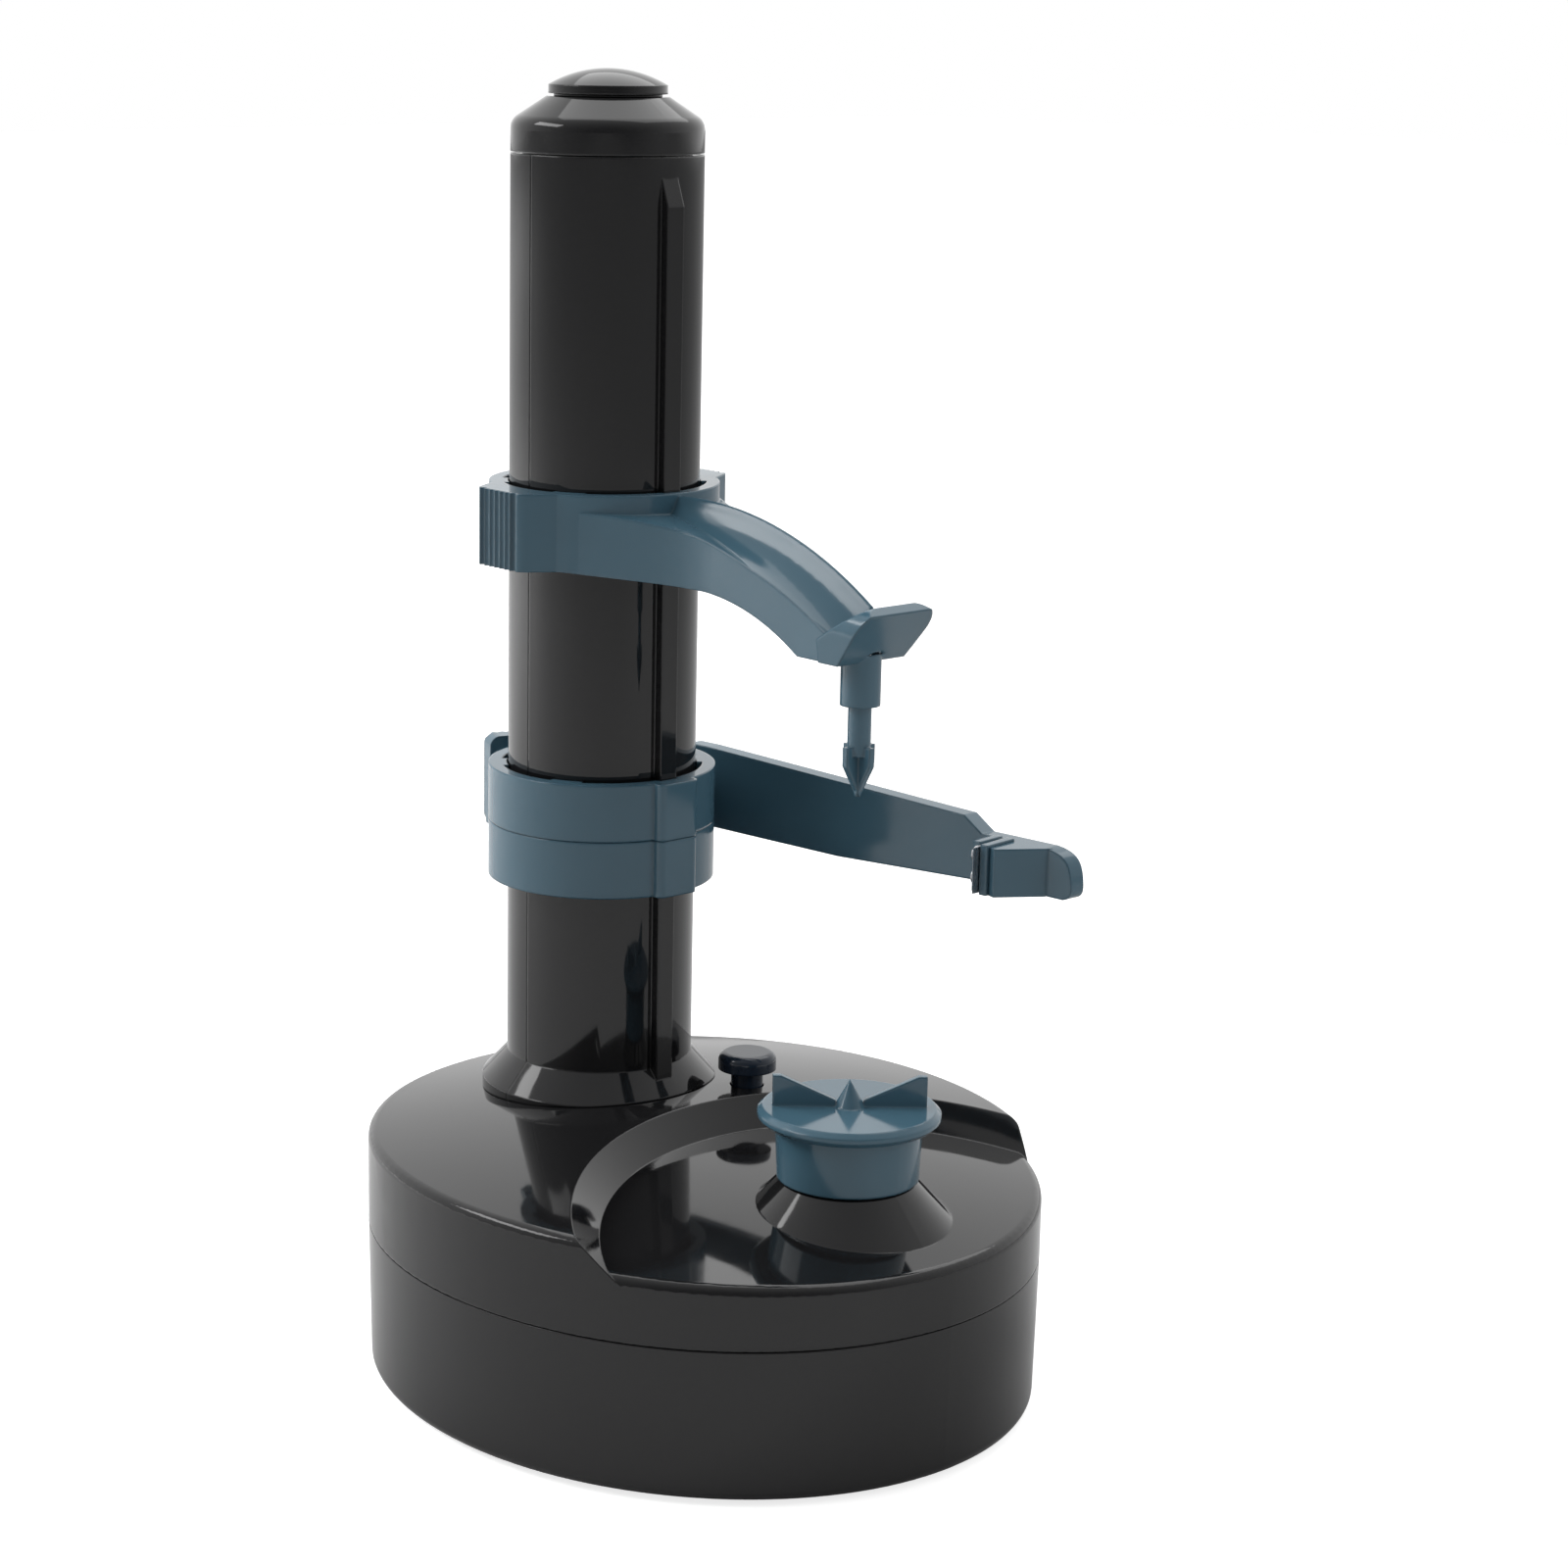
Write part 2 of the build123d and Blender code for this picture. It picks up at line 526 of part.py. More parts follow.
def tower_body():
    """Whole column before it is split: tube, conical foot, spigot, rib and slot."""
    column = rod(TOWER_X, 0, DECK_CROWN_Z, TOWER_TOP_Z, TOWER_RADIUS)
    foot_top = TOWER_RADIUS
    foot_low = foot_top + FOOT_SLOPE * (TOWER_FOOT_Z - SPIGOT_BOTTOM_Z)
    foot = Pos(TOWER_X, 0, (TOWER_FOOT_Z + SPIGOT_BOTTOM_Z) / 2) * Cone(
        foot_low, foot_top, TOWER_FOOT_Z - SPIGOT_BOTTOM_Z)
    foot = foot & rod(TOWER_X, 0, SPIGOT_BOTTOM_Z, TOWER_FOOT_Z, TOWER_FOOT_RADIUS)
    foot -= ball(DECK_CROWN_Z + SEAT_CLEARANCE)
    body = column + foot + rod(TOWER_X, 0, SPIGOT_BOTTOM_Z, TOWER_FOOT_Z, TOWER_BORE)
    # guide rib facing the spindle, with a sloped lead-in at its top
    rib_x = TOWER_X + RIB_RADIUS
    side = Polyline((TOWER_X + TOWER_BORE, TOWER_FOOT_Z - 4), (rib_x, TOWER_FOOT_Z - 4),
                    (rib_x, RIB_TOP_Z - RIB_LEAD), (TOWER_X + TOWER_RADIUS - 0.3, RIB_TOP_Z),
                    (TOWER_X + TOWER_BORE, RIB_TOP_Z), close=True)
    body += extrude(Plane.XZ * make_face(side), RIB_HALF_WIDTH, both=True)
    body -= rod(TOWER_X, 0, TOWER_FOOT_Z, TOWER_TOP_Z + 1, TOWER_BORE)
    body -= rod(TOWER_X, 0, SPIGOT_BOTTOM_Z - 1, TOWER_FOOT_Z, SPIGOT_BORE)
    for x, y in CLAMP_POSTS:
        post = rod(x, y, SPIGOT_BOTTOM_Z, TOWER_FOOT_Z, POST_RADIUS)
        body += post & rod(TOWER_X, 0, SPIGOT_BOTTOM_Z, TOWER_FOOT_Z, TOWER_BORE)
        body -= rod(x, y, SPIGOT_BOTTOM_Z - 1, TOWER_FOOT_Z - 3, SCREW_SHANK)
    # rear slot for the carriage's half nut
    z0 = NUT_Z - CARRIAGE_DOWN - SLOT_END_ROOM
    z1 = NUT_Z + NUT_HEIGHT + CARRIAGE_UP + SLOT_END_ROOM
    body -= block(TOWER_X - 2 * TOWER_RADIUS, TOWER_X, -SLOT_WIDTH / 2, SLOT_WIDTH / 2, z0, z1)
    return body


def tower_half(body, side):
    reach = 3 * TOWER_RADIUS
    x0, x1 = sorted((TOWER_X + side * SPLIT_GAP / 2, TOWER_X + side * reach))
    return body & block(x0, x1, -reach, reach, SPIGOT_BOTTOM_Z - 1, TOWER_TOP_Z + 1)


def tower_cap():
    z0 = TOWER_TOP_Z + SEAM_GAP
    z1 = z0 + CAP_BAND
    r = TOWER_RADIUS
    round_end = CAP_SHOULDER_ROUND
    shoulder = atan2(CAP_SHOULDER_HEIGHT, r - CAP_TOP_RADIUS)
    run = round_end * tan((radians(90) - shoulder) / 2)
    start = (r, z1 - run)
    end = (r - run * cos(shoulder), z1 + run * sin(shoulder))
    inner = TOWER_BORE - SEAT_CLEARANCE
    plug_z = z0 - CAP_PLUG_LENGTH
    stem = FINIAL_STEM_RADIUS + SEAT_CLEARANCE
    roof = CAP_TOP_Z - CAP_WALL
    outline = Polyline((inner - CAP_WALL, plug_z), (inner, plug_z), (inner, z0), (r, z0), start)
    outline += TangentArc(start, end, tangent=(0, 1))
    outline += Polyline(end, (CAP_TOP_RADIUS, CAP_TOP_Z), (stem, CAP_TOP_Z), (stem, roof),
                        (CAP_TOP_RADIUS - CAP_WALL, roof), (inner - CAP_WALL, z1), (inner - CAP_WALL, plug_z))
    return Pos(TOWER_X, 0, 0) * revolve(Plane.XZ * make_face(outline), Axis.Z)


def cap_finial():
    z0 = CAP_TOP_Z
    step = FINIAL_RADIUS - 2 * SHADOW_GAP
    rim0, rim1 = z0 + SHADOW_GAP, z0 + SHADOW_GAP + FINIAL_RIM
    top = rim1 + FINIAL_DOME
    dome_radius = (FINIAL_RADIUS ** 2 + FINIAL_DOME ** 2) / (2 * FINIAL_DOME)
    half = atan2(FINIAL_RADIUS, dome_radius - FINIAL_DOME) / 2
    middle = (dome_radius * sin(half), top - dome_radius * (1 - cos(half)))
    outline = Polyline((0, top), (0, z0 - FINIAL_STEM_LENGTH), (FINIAL_STEM_RADIUS, z0 - FINIAL_STEM_LENGTH),
                       (FINIAL_STEM_RADIUS, z0), (step, z0), (step, rim0), (FINIAL_RADIUS, rim0),
                       (FINIAL_RADIUS, rim1))
    outline += ThreePointArc((FINIAL_RADIUS, rim1), middle, (0, top))
    return Pos(TOWER_X, 0, 0) * revolve(Plane.XZ * make_face(outline), Axis.Z)


def tower_clamp_plate():
    plate = tube(TOWER_X, 0, CLAMP_Z, SPIGOT_BOTTOM_Z, CLAMP_RADIUS, SCREW_BUSH_RADIUS)
    for x, y in CLAMP_POSTS:
        plate -= rod(x, y, CLAMP_Z - 1, SPIGOT_BOTTOM_Z + 1, SCREW_SHANK + SHAFT_CLEARANCE)
    return plate


def tower_screws():
    return screw_group(CLAMP_POSTS, CLAMP_Z, True, CLAMP_THICKNESS + SCREW_BITE)


# Drive
def gear_plate():
    plate = Pos(0, 0, PLATE_Z) * extrude(Ellipse(PLATE_HALF_LENGTH, PLATE_HALF_WIDTH), PLATE_THICKNESS)
    for x, y in CORNERS:
        plate -= rod(x, y, PLATE_Z - 1, PLATE_TOP_Z + 1, POST_RADIUS + 1)
    for x, y in PLATE_POSTS:
        plate -= rod(x, y, PLATE_Z - 1, PLATE_TOP_Z + 1, SCREW_SHANK + SHAFT_CLEARANCE)
    journal = JOURNAL_RADIUS + SHAFT_CLEARANCE
    holes = [(SPINDLE_X, 0, journal), (TOWER_X, 0, journal), (IDLER_X, 0, AXLE_RADIUS),
             (COMPOUND_X, COMPOUND_Y, AXLE_RADIUS), (MOTOR_X, MOTOR_Y, MOTOR_NECK_RADIUS)]
    for x, y, r in holes:
        plate -= rod(x, y, PLATE_Z - 1, PLATE_TOP_Z + 1, r)
    return plate


def switch_base_z():
    return BUTTON_DECK_Z - BUTTON_STEM_BELOW - BUTTON_TRAVEL - SLIDE_CLEARANCE - SWITCH_HEIGHT


def gear_plate_screws():
    return screw_group(PLATE_POSTS, PLATE_TOP_Z, False, PLATE_THICKNESS + SCREW_BITE)


def hub_washer(x, y, z, radius):
    """Raised boss under a gear that sets its height on the plate."""
    return tube(x, y, PLATE_TOP_Z + SEAT_CLEARANCE, z, radius + 2, radius)


def spindle_flat(clearance=0.0):
    """What the drive flat takes off the spindle's top end."""
    reach = 2 * SPINDLE_RADIUS
    x0 = SPINDLE_X + SPINDLE_FLAT + clearance
    return block(x0, SPINDLE_X + reach, -reach, reach, HOLDER_FOOT_Z - 2 * clearance, SPINDLE_TOP_Z + 1)


def spindle_shaft():
    shaft = rod(SPINDLE_X, 0, PLATE_Z, GEAR_Z, JOURNAL_RADIUS)
    shaft += rod(SPINDLE_X, 0, PLATE_TOP_Z + SEAT_CLEARANCE, SPINDLE_TOP_Z, SPINDLE_RADIUS)
    return shaft - spindle_flat()


def spindle_gear():
    return gear(SPINDLE_X, 0, GEAR_Z, SPINDLE_TEETH, GEAR_FACE, SPINDLE_PHASE, SPINDLE_RADIUS)


def spindle_bush():
    bore = SPINDLE_RADIUS + SHAFT_CLEARANCE
    return tube(SPINDLE_X, 0, LARGE_Z + LARGE_FACE + 1, COLLAR_TOP_Z, BUSH_RADIUS, bore)


def idler_gear():
    wheel = gear(IDLER_X, 0, GEAR_Z, IDLER_TEETH, GEAR_FACE, IDLER_PHASE, AXLE_RADIUS + SHAFT_CLEARANCE)
    return wheel + hub_washer(IDLER_X, 0, GEAR_Z, AXLE_RADIUS + SHAFT_CLEARANCE)


def idler_axle():
    return rod(IDLER_X, 0, PLATE_Z, GEAR_Z + GEAR_FACE + GEAR_LAYER_GAP / 2, AXLE_RADIUS)


def compound_gear():
    bore = AXLE_RADIUS + SHAFT_CLEARANCE
    small = gear(COMPOUND_X, COMPOUND_Y, GEAR_Z, SMALL_TEETH, LARGE_Z - GEAR_Z, COMPOUND_PHASE, bore)
    large = gear(COMPOUND_X, COMPOUND_Y, LARGE_Z, LARGE_TEETH, LARGE_FACE, COMPOUND_PHASE, bore)
    return small + large + hub_washer(COMPOUND_X, COMPOUND_Y, GEAR_Z, bore)


def compound_axle():
    return rod(COMPOUND_X, COMPOUND_Y, PLATE_Z, LARGE_Z + LARGE_FACE + 0.5, AXLE_RADIUS)


def motor():
    can = rod(MOTOR_X, MOTOR_Y, PLATE_Z - MOTOR_LENGTH, PLATE_Z, MOTOR_RADIUS)
    can = fillet(can.edges().sort_by(Axis.Z)[0], MOTOR_EDGE_ROUND)
    neck = rod(MOTOR_X, MOTOR_Y, PLATE_Z, PLATE_TOP_Z, MOTOR_NECK_RADIUS)
    bore = MOTOR_SHAFT_RADIUS + SHAFT_CLEARANCE
    return can + neck - rod(MOTOR_X, MOTOR_Y, PLATE_Z - MOTOR_SHAFT_DEPTH - 1, PLATE_TOP_Z + 1, bore)


def motor_pinion():
    z0, z1 = LARGE_Z - GEAR_LAYER_GAP / 2, LARGE_Z + LARGE_FACE + GEAR_LAYER_GAP
    shaft = rod(MOTOR_X, MOTOR_Y, PLATE_Z - MOTOR_SHAFT_DEPTH, z1, MOTOR_SHAFT_RADIUS)
    teeth = gear(MOTOR_X, MOTOR_Y, z0, MOTOR_TEETH, LARGE_FACE + 1, MOTOR_PHASE, MOTOR_SHAFT_RADIUS / 2)
    return shaft + teeth


def lead_screw():
    screw = rod(TOWER_X, 0, PLATE_Z, GEAR_Z, JOURNAL_RADIUS)
    return screw + rod(TOWER_X, 0, PLATE_TOP_Z + SEAT_CLEARANCE, SCREW_TOP_Z, SCREW_RADIUS)


def screw_gear():
    return gear(TOWER_X, 0, GEAR_Z, SCREW_TEETH, GEAR_FACE, SCREW_PHASE, SCREW_RADIUS)


def screw_bush():
    z0 = CLAMP_Z - SCREW_HEAD
    return tube(TOWER_X, 0, z0, SPIGOT_BOTTOM_Z + 2, SCREW_BUSH_RADIUS, SCREW_RADIUS + SHAFT_CLEARANCE)


def screw_top_bush():
    z1 = TOWER_TOP_Z + SEAM_GAP - CAP_PLUG_LENGTH
    z0 = z1 - TOP_BUSH_LENGTH
    return tube(TOWER_X, 0, z0, z1, TOWER_BORE - SEAT_CLEARANCE, SCREW_RADIUS + SHAFT_CLEARANCE)


# Fruit holder
def fruit_holder():
    flange_top = HOLDER_FLANGE_Z + HOLDER_FLANGE
    cavity = HOLDER_FLANGE_Z - HOLDER_WALL
    hub = SPINDLE_RADIUS + HOLDER_WALL
    rim, edge = HOLDER_FLANGE_RADIUS, HOLDER_FLANGE_EDGE
    points = [(0, flange_top + POINT_HEIGHT), (POINT_RADIUS, flange_top), (rim - edge, flange_top),
              (rim, flange_top - edge), (rim, HOLDER_FLANGE_Z + edge), (rim - edge, HOLDER_FLANGE_Z),
              (HOLDER_TOP_RADIUS, HOLDER_FLANGE_Z), (HOLDER_FOOT_RADIUS, HOLDER_FOOT_Z),
              (HOLDER_FOOT_RADIUS - HOLDER_WALL, HOLDER_FOOT_Z), (HOLDER_TOP_RADIUS - HOLDER_WALL, cavity),
              (hub, cavity), (hub, HOLDER_FOOT_Z), (0, HOLDER_FOOT_Z)]
    cup = turned(points, SPINDLE_X)
    top = SPINDLE_TOP_Z + SEAT_CLEARANCE
    socket = rod(SPINDLE_X, 0, HOLDER_FOOT_Z - 1, top, SPINDLE_RADIUS + SEAT_CLEARANCE)
    socket -= spindle_flat(SEAT_CLEARANCE)
    cup -= socket
    fin_top = flange_top + FIN_HEIGHT
    side = Polyline((FIN_INNER, flange_top - 1), (FIN_REACH, flange_top - 1), (FIN_REACH, fin_top),
                    (FIN_REACH - FIN_THICKNESS, fin_top), (FIN_INNER, flange_top + FIN_INNER_HEIGHT), close=True)
    fin = extrude(Plane.XZ * make_face(side), FIN_THICKNESS / 2, both=True)
    for turn in (0, 180):
        cup += Pos(SPINDLE_X, 0, 0) * Rot(0, 0, FIN_ANGLE + turn) * fin
    return cup


# Sliding rings
def guide_pads(z0, z1):
    """Three running pads inside a ring's bore; the rib's notch is the fourth guide."""
    inner = TOWER_RADIUS + SLIDE_CLEARANCE
    band = tube(TOWER_X, 0, z0, z1, RING_BORE_RADIUS + 0.5, inner)
    half = RING_BORE_RADIUS * sin(radians(PAD_HALF_ANGLE))
    pads = Part()
    for angle in (60, 125, 235, 300):
        reach = Pos(TOWER_X, 0, 0) * Rot(0, 0, angle) * block(0, 2 * RING_RADIUS, -half, half, z0, z1)
        pads += band & reach
    return pads


def rib_notch(z0, z1):
    half = RIB_HALF_WIDTH + SLIDE_CLEARANCE
    return block(TOWER_X, TOWER_X + RIB_RADIUS + SLIDE_CLEARANCE, -half, half, z0 - 1, z1 + 1)


def slide_ring(z0, z1):
    ring = tube(TOWER_X, 0, z0, z1, RING_RADIUS, RING_BORE_RADIUS)
    return ring + guide_pads(z0, z1)


def grip_pad(side):
    """Ribbed finger pad on one side of the top holder's ring."""
    z0, z1 = HOLDER_Z, HOLDER_Z + HOLDER_HEIGHT
    root = sqrt(RING_RADIUS ** 2 - GRIP_ROOT_HALF_WIDTH ** 2)
    w0, w1 = GRIP_ROOT_HALF_WIDTH, GRIP_HALF_WIDTH
    plan = Polyline((-w1, 0), (-w0, root), (-w1, GRIP_REACH), (w1, GRIP_REACH), (w0, root), (w1, 0), close=True)
    face = make_face(plan)
    face = fillet(face.vertices().sort_by(Axis.Y)[-2:], GRIP_CORNER)
    pad = Pos(0, 0, z0) * extrude(face, z1 - z0)
    pitch = 2 * GRIP_HALF_WIDTH / GRIP_RIBS
    for i in range(GRIP_RIBS - 1):
        x = -GRIP_HALF_WIDTH + (i + 1) * pitch
        past = max(0, abs(x) - GRIP_HALF_WIDTH + GRIP_CORNER)
        y = GRIP_REACH - GRIP_CORNER + sqrt(GRIP_CORNER ** 2 - past ** 2)
        pad -= rod(x, y + GRIP_RIB_DEPTH / 3, z0 - 1, z1 + 1, GRIP_RIB_DEPTH)
    return Pos(TOWER_X, 0, 0) * Rot(0, 0, 0 if side > 0 else 180) * pad


def arm_plan(shrink=0.0):
    """Plan of the arched arm: wide root on the ring, then an even bar to the spindle."""
    x0 = TOWER_X + ARM_ROOT_X
    x1 = TOWER_X + ARM_STRAIGHT_X
    x2 = SPINDLE_X + LIP_FOOT - shrink
    w0, w1 = ARM_ROOT_HALF_WIDTH - shrink, ARM_HALF_WIDTH - shrink
    waist_x, waist_y = (x0 + x1) / 2, w1 + (w0 - w1) * 0.36
    plan = Line((x0, -w0), (x0, w0))
    plan += Spline((x0, w0), (waist_x, waist_y), (x1, w1), tangents=[(1, -0.5), (1, 0)])
    plan += Polyline((x1, w1), (x2, w1), (x2, -w1), (x1, -w1))
    plan += Spline((x1, -w1), (waist_x, -waist_y), (x0, -w0), tangents=[(-1, 0), (-1, -0.5)])
    return make_face(plan)


def arm_sweep(shrink=0.0):
    """Arched top with a rounded ridge: one section turned about a level axis under the arm."""
    edge = ARM_TOP_RADIUS - shrink
    w, c = ARM_ROOT_HALF_WIDTH + 2, ARM_CROWN_HALF_WIDTH
    section = Spline((-c, edge), (0, edge + ARM_CROWN), (c, edge), tangents=[(1, 0), (1, 0)])
    section += Polyline((c, edge), (w, edge), (w, edge / 2), (-w, edge / 2), (-w, edge), (-c, edge))
    face = Plane(origin=(0, 0, 0), x_dir=(0, 1, 0), z_dir=(1, 0, 0)) * make_face(section)
    return Pos(ARM_TOP_CENTRE_X, 0, ARM_TOP_Z - ARM_TOP_RADIUS) * revolve(face, Axis.Y, 360)


def arm_shelf():
    """Lower, flatter arch that carries the ridge's foot out to the wide root."""
    arch = Cylinder(ARM_SHELF_RADIUS, 4 * ARM_ROOT_HALF_WIDTH)
    return Pos(ARM_SHELF_CENTRE_X, 0, ARM_SHELF_Z - ARM_SHELF_RADIUS) * Rot(90, 0, 0) * arch


def arm_under():
    """Space under the arm: its hollow arch, and level with the ring's underside at the root."""
    reach = 2 * ARM_ROOT_HALF_WIDTH
    arch = Cylinder(ARM_UNDER_RADIUS, 2 * reach)
    arch = Pos(ARM_UNDER_CENTRE_X, 0, ARM_UNDER_Z - ARM_UNDER_RADIUS) * Rot(90, 0, 0) * arch
    back, root = TOWER_X - RING_RADIUS, TOWER_X + ARM_ROOT_X
    side = Polyline((back, BOSS_BOTTOM_Z), (back, HOLDER_Z), (root, HOLDER_Z),
                    (ARM_UNDER_CENTRE_X, ARM_UNDER_Z), (ARM_UNDER_CENTRE_X, BOSS_BOTTOM_Z), close=True)
    return arch + extrude(Plane.XZ * make_face(side), reach, both=True)


def finger_lip():
    """Upturned lip at the arm's end, a little wider at its rounded top."""
    foot, tip, z0 = SPINDLE_X + LIP_FOOT, SPINDLE_X + LIP_REACH, LIP_BOTTOM_Z
    back = SPINDLE_X - LIP_FOOT
    middle = ((foot + tip) / 2 - 0.4, (z0 + LIP_TOP_Z) / 2 - 1.4)
    side = ThreePointArc((foot, z0), middle, (tip, LIP_TOP_Z - 1.4))
    side += Polyline((tip, LIP_TOP_Z - 1.4), (tip - LIP_THICKNESS, LIP_TOP_Z), (SPINDLE_X + 1, z0 + 7.4),
                     (back, z0 + 5), (back, z0), (foot, z0))
    lip = extrude(Plane.XZ * make_face(side), LIP_TOP_HALF_WIDTH, both=True)
    w0, w1 = LIP_HALF_WIDTH, LIP_TOP_HALF_WIDTH
    front = make_face(Polyline((-w0, z0), (w0, z0), (w1, LIP_TOP_Z), (-w1, LIP_TOP_Z), close=True))
    front = fillet(front.vertices().sort_by(Axis.Y)[-2:], LIP_CORNER)
    outline = Plane(origin=(back - 1, 0, 0), x_dir=(0, 1, 0), z_dir=(1, 0, 0)) * front
    return lip & extrude(outline, 4 * LIP_REACH)


def top_holder_arm():
    z0, z1 = HOLDER_Z, HOLDER_Z + HOLDER_HEIGHT
    arm = (arm_sweep() + arm_shelf()) & Pos(0, 0, LIP_BOTTOM_Z) * extrude(arm_plan(), 3 * HOLDER_HEIGHT)
    arm -= arm_under()
    hollow = arm_sweep(ARM_WALL) & Pos(0, 0, BOSS_BOTTOM_Z) * extrude(arm_plan(ARM_WALL), 3 * HOLDER_HEIGHT)
    hollow &= block(TOWER_X, SPINDLE_X - 2 * BOSS_RADIUS, -TOWER_RADIUS, TOWER_RADIUS, BOSS_BOTTOM_Z, z1)
    hollow -= rod(TOWER_X, 0, BOSS_BOTTOM_Z, z1 + 1, RING_RADIUS)
    body = rod(TOWER_X, 0, z0, z1, RING_RADIUS) + grip_pad(1) + grip_pad(-1) + (arm - hollow)
    body += finger_lip()
    body += rod(SPINDLE_X, 0, BOSS_BOTTOM_Z, BOSS_TOP_Z, BOSS_RADIUS)
    body -= rod(TOWER_X, 0, BOSS_BOTTOM_Z, z1 + 1, RING_BORE_RADIUS)
    body += guide_pads(z0, z1)
    body -= rod(SPINDLE_X, 0, BOSS_TOP_Z, BOSS_TOP_Z + 2.5, CLIP_RADIUS + SLIDE_CLEARANCE)
    body -= rod(SPINDLE_X, 0, BOSS_BOTTOM_Z - 1, BOSS_TOP_Z + 1, PIN_RADIUS + SHAFT_CLEARANCE)
    return body - rib_notch(BOSS_BOTTOM_Z, z1)


def top_spike():
    pin = rod(SPINDLE_X, 0, PIN_TIP_Z, BOSS_TOP_Z + 2, PIN_RADIUS)
    side = Polyline((-SPEAR_HALF_WIDTH, PIN_TIP_Z + 2), (-SPEAR_HALF_WIDTH, PIN_TIP_Z - 2),
                    (0, PIN_TIP_Z - SPEAR_LENGTH), (SPEAR_HALF_WIDTH, PIN_TIP_Z - 2),
                    (SPEAR_HALF_WIDTH, PIN_TIP_Z + 2), close=True)
    blade = extrude(Plane.XZ * make_face(side), SPEAR_THICKNESS / 2, both=True)
    for turn in (0, 90):
        pin += Pos(SPINDLE_X, 0, 0) * Rot(0, 0, turn) * blade
    return pin - tube(SPINDLE_X, 0, BOSS_TOP_Z + SEAT_CLEARANCE, BOSS_TOP_Z + SEAT_CLEARANCE + CLIP_THICKNESS,
                      2 * PIN_RADIUS, PIN_RADIUS - 0.6)


def spike_retainer():
    z0 = BOSS_TOP_Z + SEAT_CLEARANCE
    ring = tube(SPINDLE_X, 0, z0, z0 + CLIP_THICKNESS, CLIP_RADIUS, PIN_RADIUS - 0.6)
    return ring - block(SPINDLE_X, SPINDLE_X + 9, -1.2, 1.2, z0 - 1, z0 + 3)


# Carriage
def carriage_ear(z0, z1):
    reach = hypot(PIVOT_DX, PIVOT_DY)
    angle = degrees(atan2(PIVOT_DY, PIVOT_DX))
    web = block(RING_BORE_RADIUS + 1, reach, -EAR_RADIUS, EAR_RADIUS, z0, z1)
    ear = Pos(TOWER_X, 0, 0) * Rot(0, 0, angle) * web + rod(PIVOT_X, PIVOT_Y, z0, z1, EAR_RADIUS)
    return ear - rod(PIVOT_X, PIVOT_Y, z0 - 1, z1 + 1, PIVOT_PIN_RADIUS)


def rib_bulge(z0, z1):
    half = BULGE_HALF_WIDTH
    lump = block(TOWER_X + RING_BORE_RADIUS, TOWER_X + BULGE_RADIUS, -half, half, z0, z1)
    return fillet(lump.edges().filter_by(Axis.Z).sort_by(Axis.X)[2:], 1.6)


def carriage_half(z0, z1, ear0, ear1):
    ring = slide_ring(z0, z1) + rib_bulge(z0, z1) + carriage_ear(ear0, ear1)
    ring -= rod(TOWER_X, 0, z0 - 1, z1 + 1, TOWER_RADIUS + SLIDE_CLEARANCE)
    return ring - rib_notch(z0, z1)


def carriage_lower_ring():
    z0, z1 = CARRIAGE_Z, CARRIAGE_Z + CARRIAGE_LOWER
    return carriage_half(z0, z1, z0, z0 + EAR_THICKNESS)


def carriage_upper_ring():
    z0, z1 = CARRIAGE_Z + CARRIAGE_LOWER + SEAM_GAP / 2, CARRIAGE_Z + CARRIAGE_HEIGHT
    return carriage_half(z0, z1, z1 - EAR_THICKNESS, z1)


def half_nut():
    z0, z1 = NUT_Z, NUT_Z + NUT_HEIGHT
    nut = block(TOWER_X - RING_BORE_RADIUS, TOWER_X, -NUT_WIDTH / 2, NUT_WIDTH / 2, z0, z1)
    nut &= rod(TOWER_X, 0, z0, z1, RING_BORE_RADIUS)
    return nut - rod(TOWER_X, 0, z0 - 1, z1 + 1, SCREW_RADIUS + SHAFT_CLEARANCE)


def arm_pivot_pin():
    z0, z1 = CARRIAGE_Z, CARRIAGE_Z + CARRIAGE_HEIGHT
    pin = rod(PIVOT_X, PIVOT_Y, z0, z1 + PIVOT_HEAD, PIVOT_PIN_RADIUS)
    return pin + rod(PIVOT_X, PIVOT_Y, z1, z1 + PIVOT_HEAD, PIVOT_HEAD_RADIUS)


def spring_path(radius, pitch, turns, z0):
    """Coil made of tangent arcs, two to each quarter turn."""
    steps = 4 * turns
    rise = pitch / radians(360)

    def point(i):
        a = radians(90) * i
        return Vector(radius * cos(a), radius * sin(a), z0 + rise * a)

    def heading(i):
        a = radians(90) * i
        return Vector(-radius * sin(a), radius * cos(a), rise).normalized()

    arcs = []
    for i in range(steps):
        p, q, t, u = point(i), point(i + 1), heading(i), heading(i + 1)
        chord, both = q - p, t + u
        a = 4 - both.dot(both)
        b = 2 * chord.dot(both)
        d = (-b + sqrt(b * b + 4 * a * chord.dot(chord))) / (2 * a)
        middle = (p + t * d + q - u * d) * 0.5
        arcs.append(Edge.make_tangent_arc(p, t, middle))
        arcs.append(Edge.make_tangent_arc(middle, (q - p - (t + u) * d).normalized(), q))
    print("spring gap between turns", round(pitch - SPRING_WIRE, 2))
    return Wire(arcs)


def hub_span():
    z0 = CARRIAGE_Z + EAR_THICKNESS + SLIDE_CLEARANCE
    return z0, CARRIAGE_Z + CARRIAGE_HEIGHT - EAR_THICKNESS - SLIDE_CLEARANCE


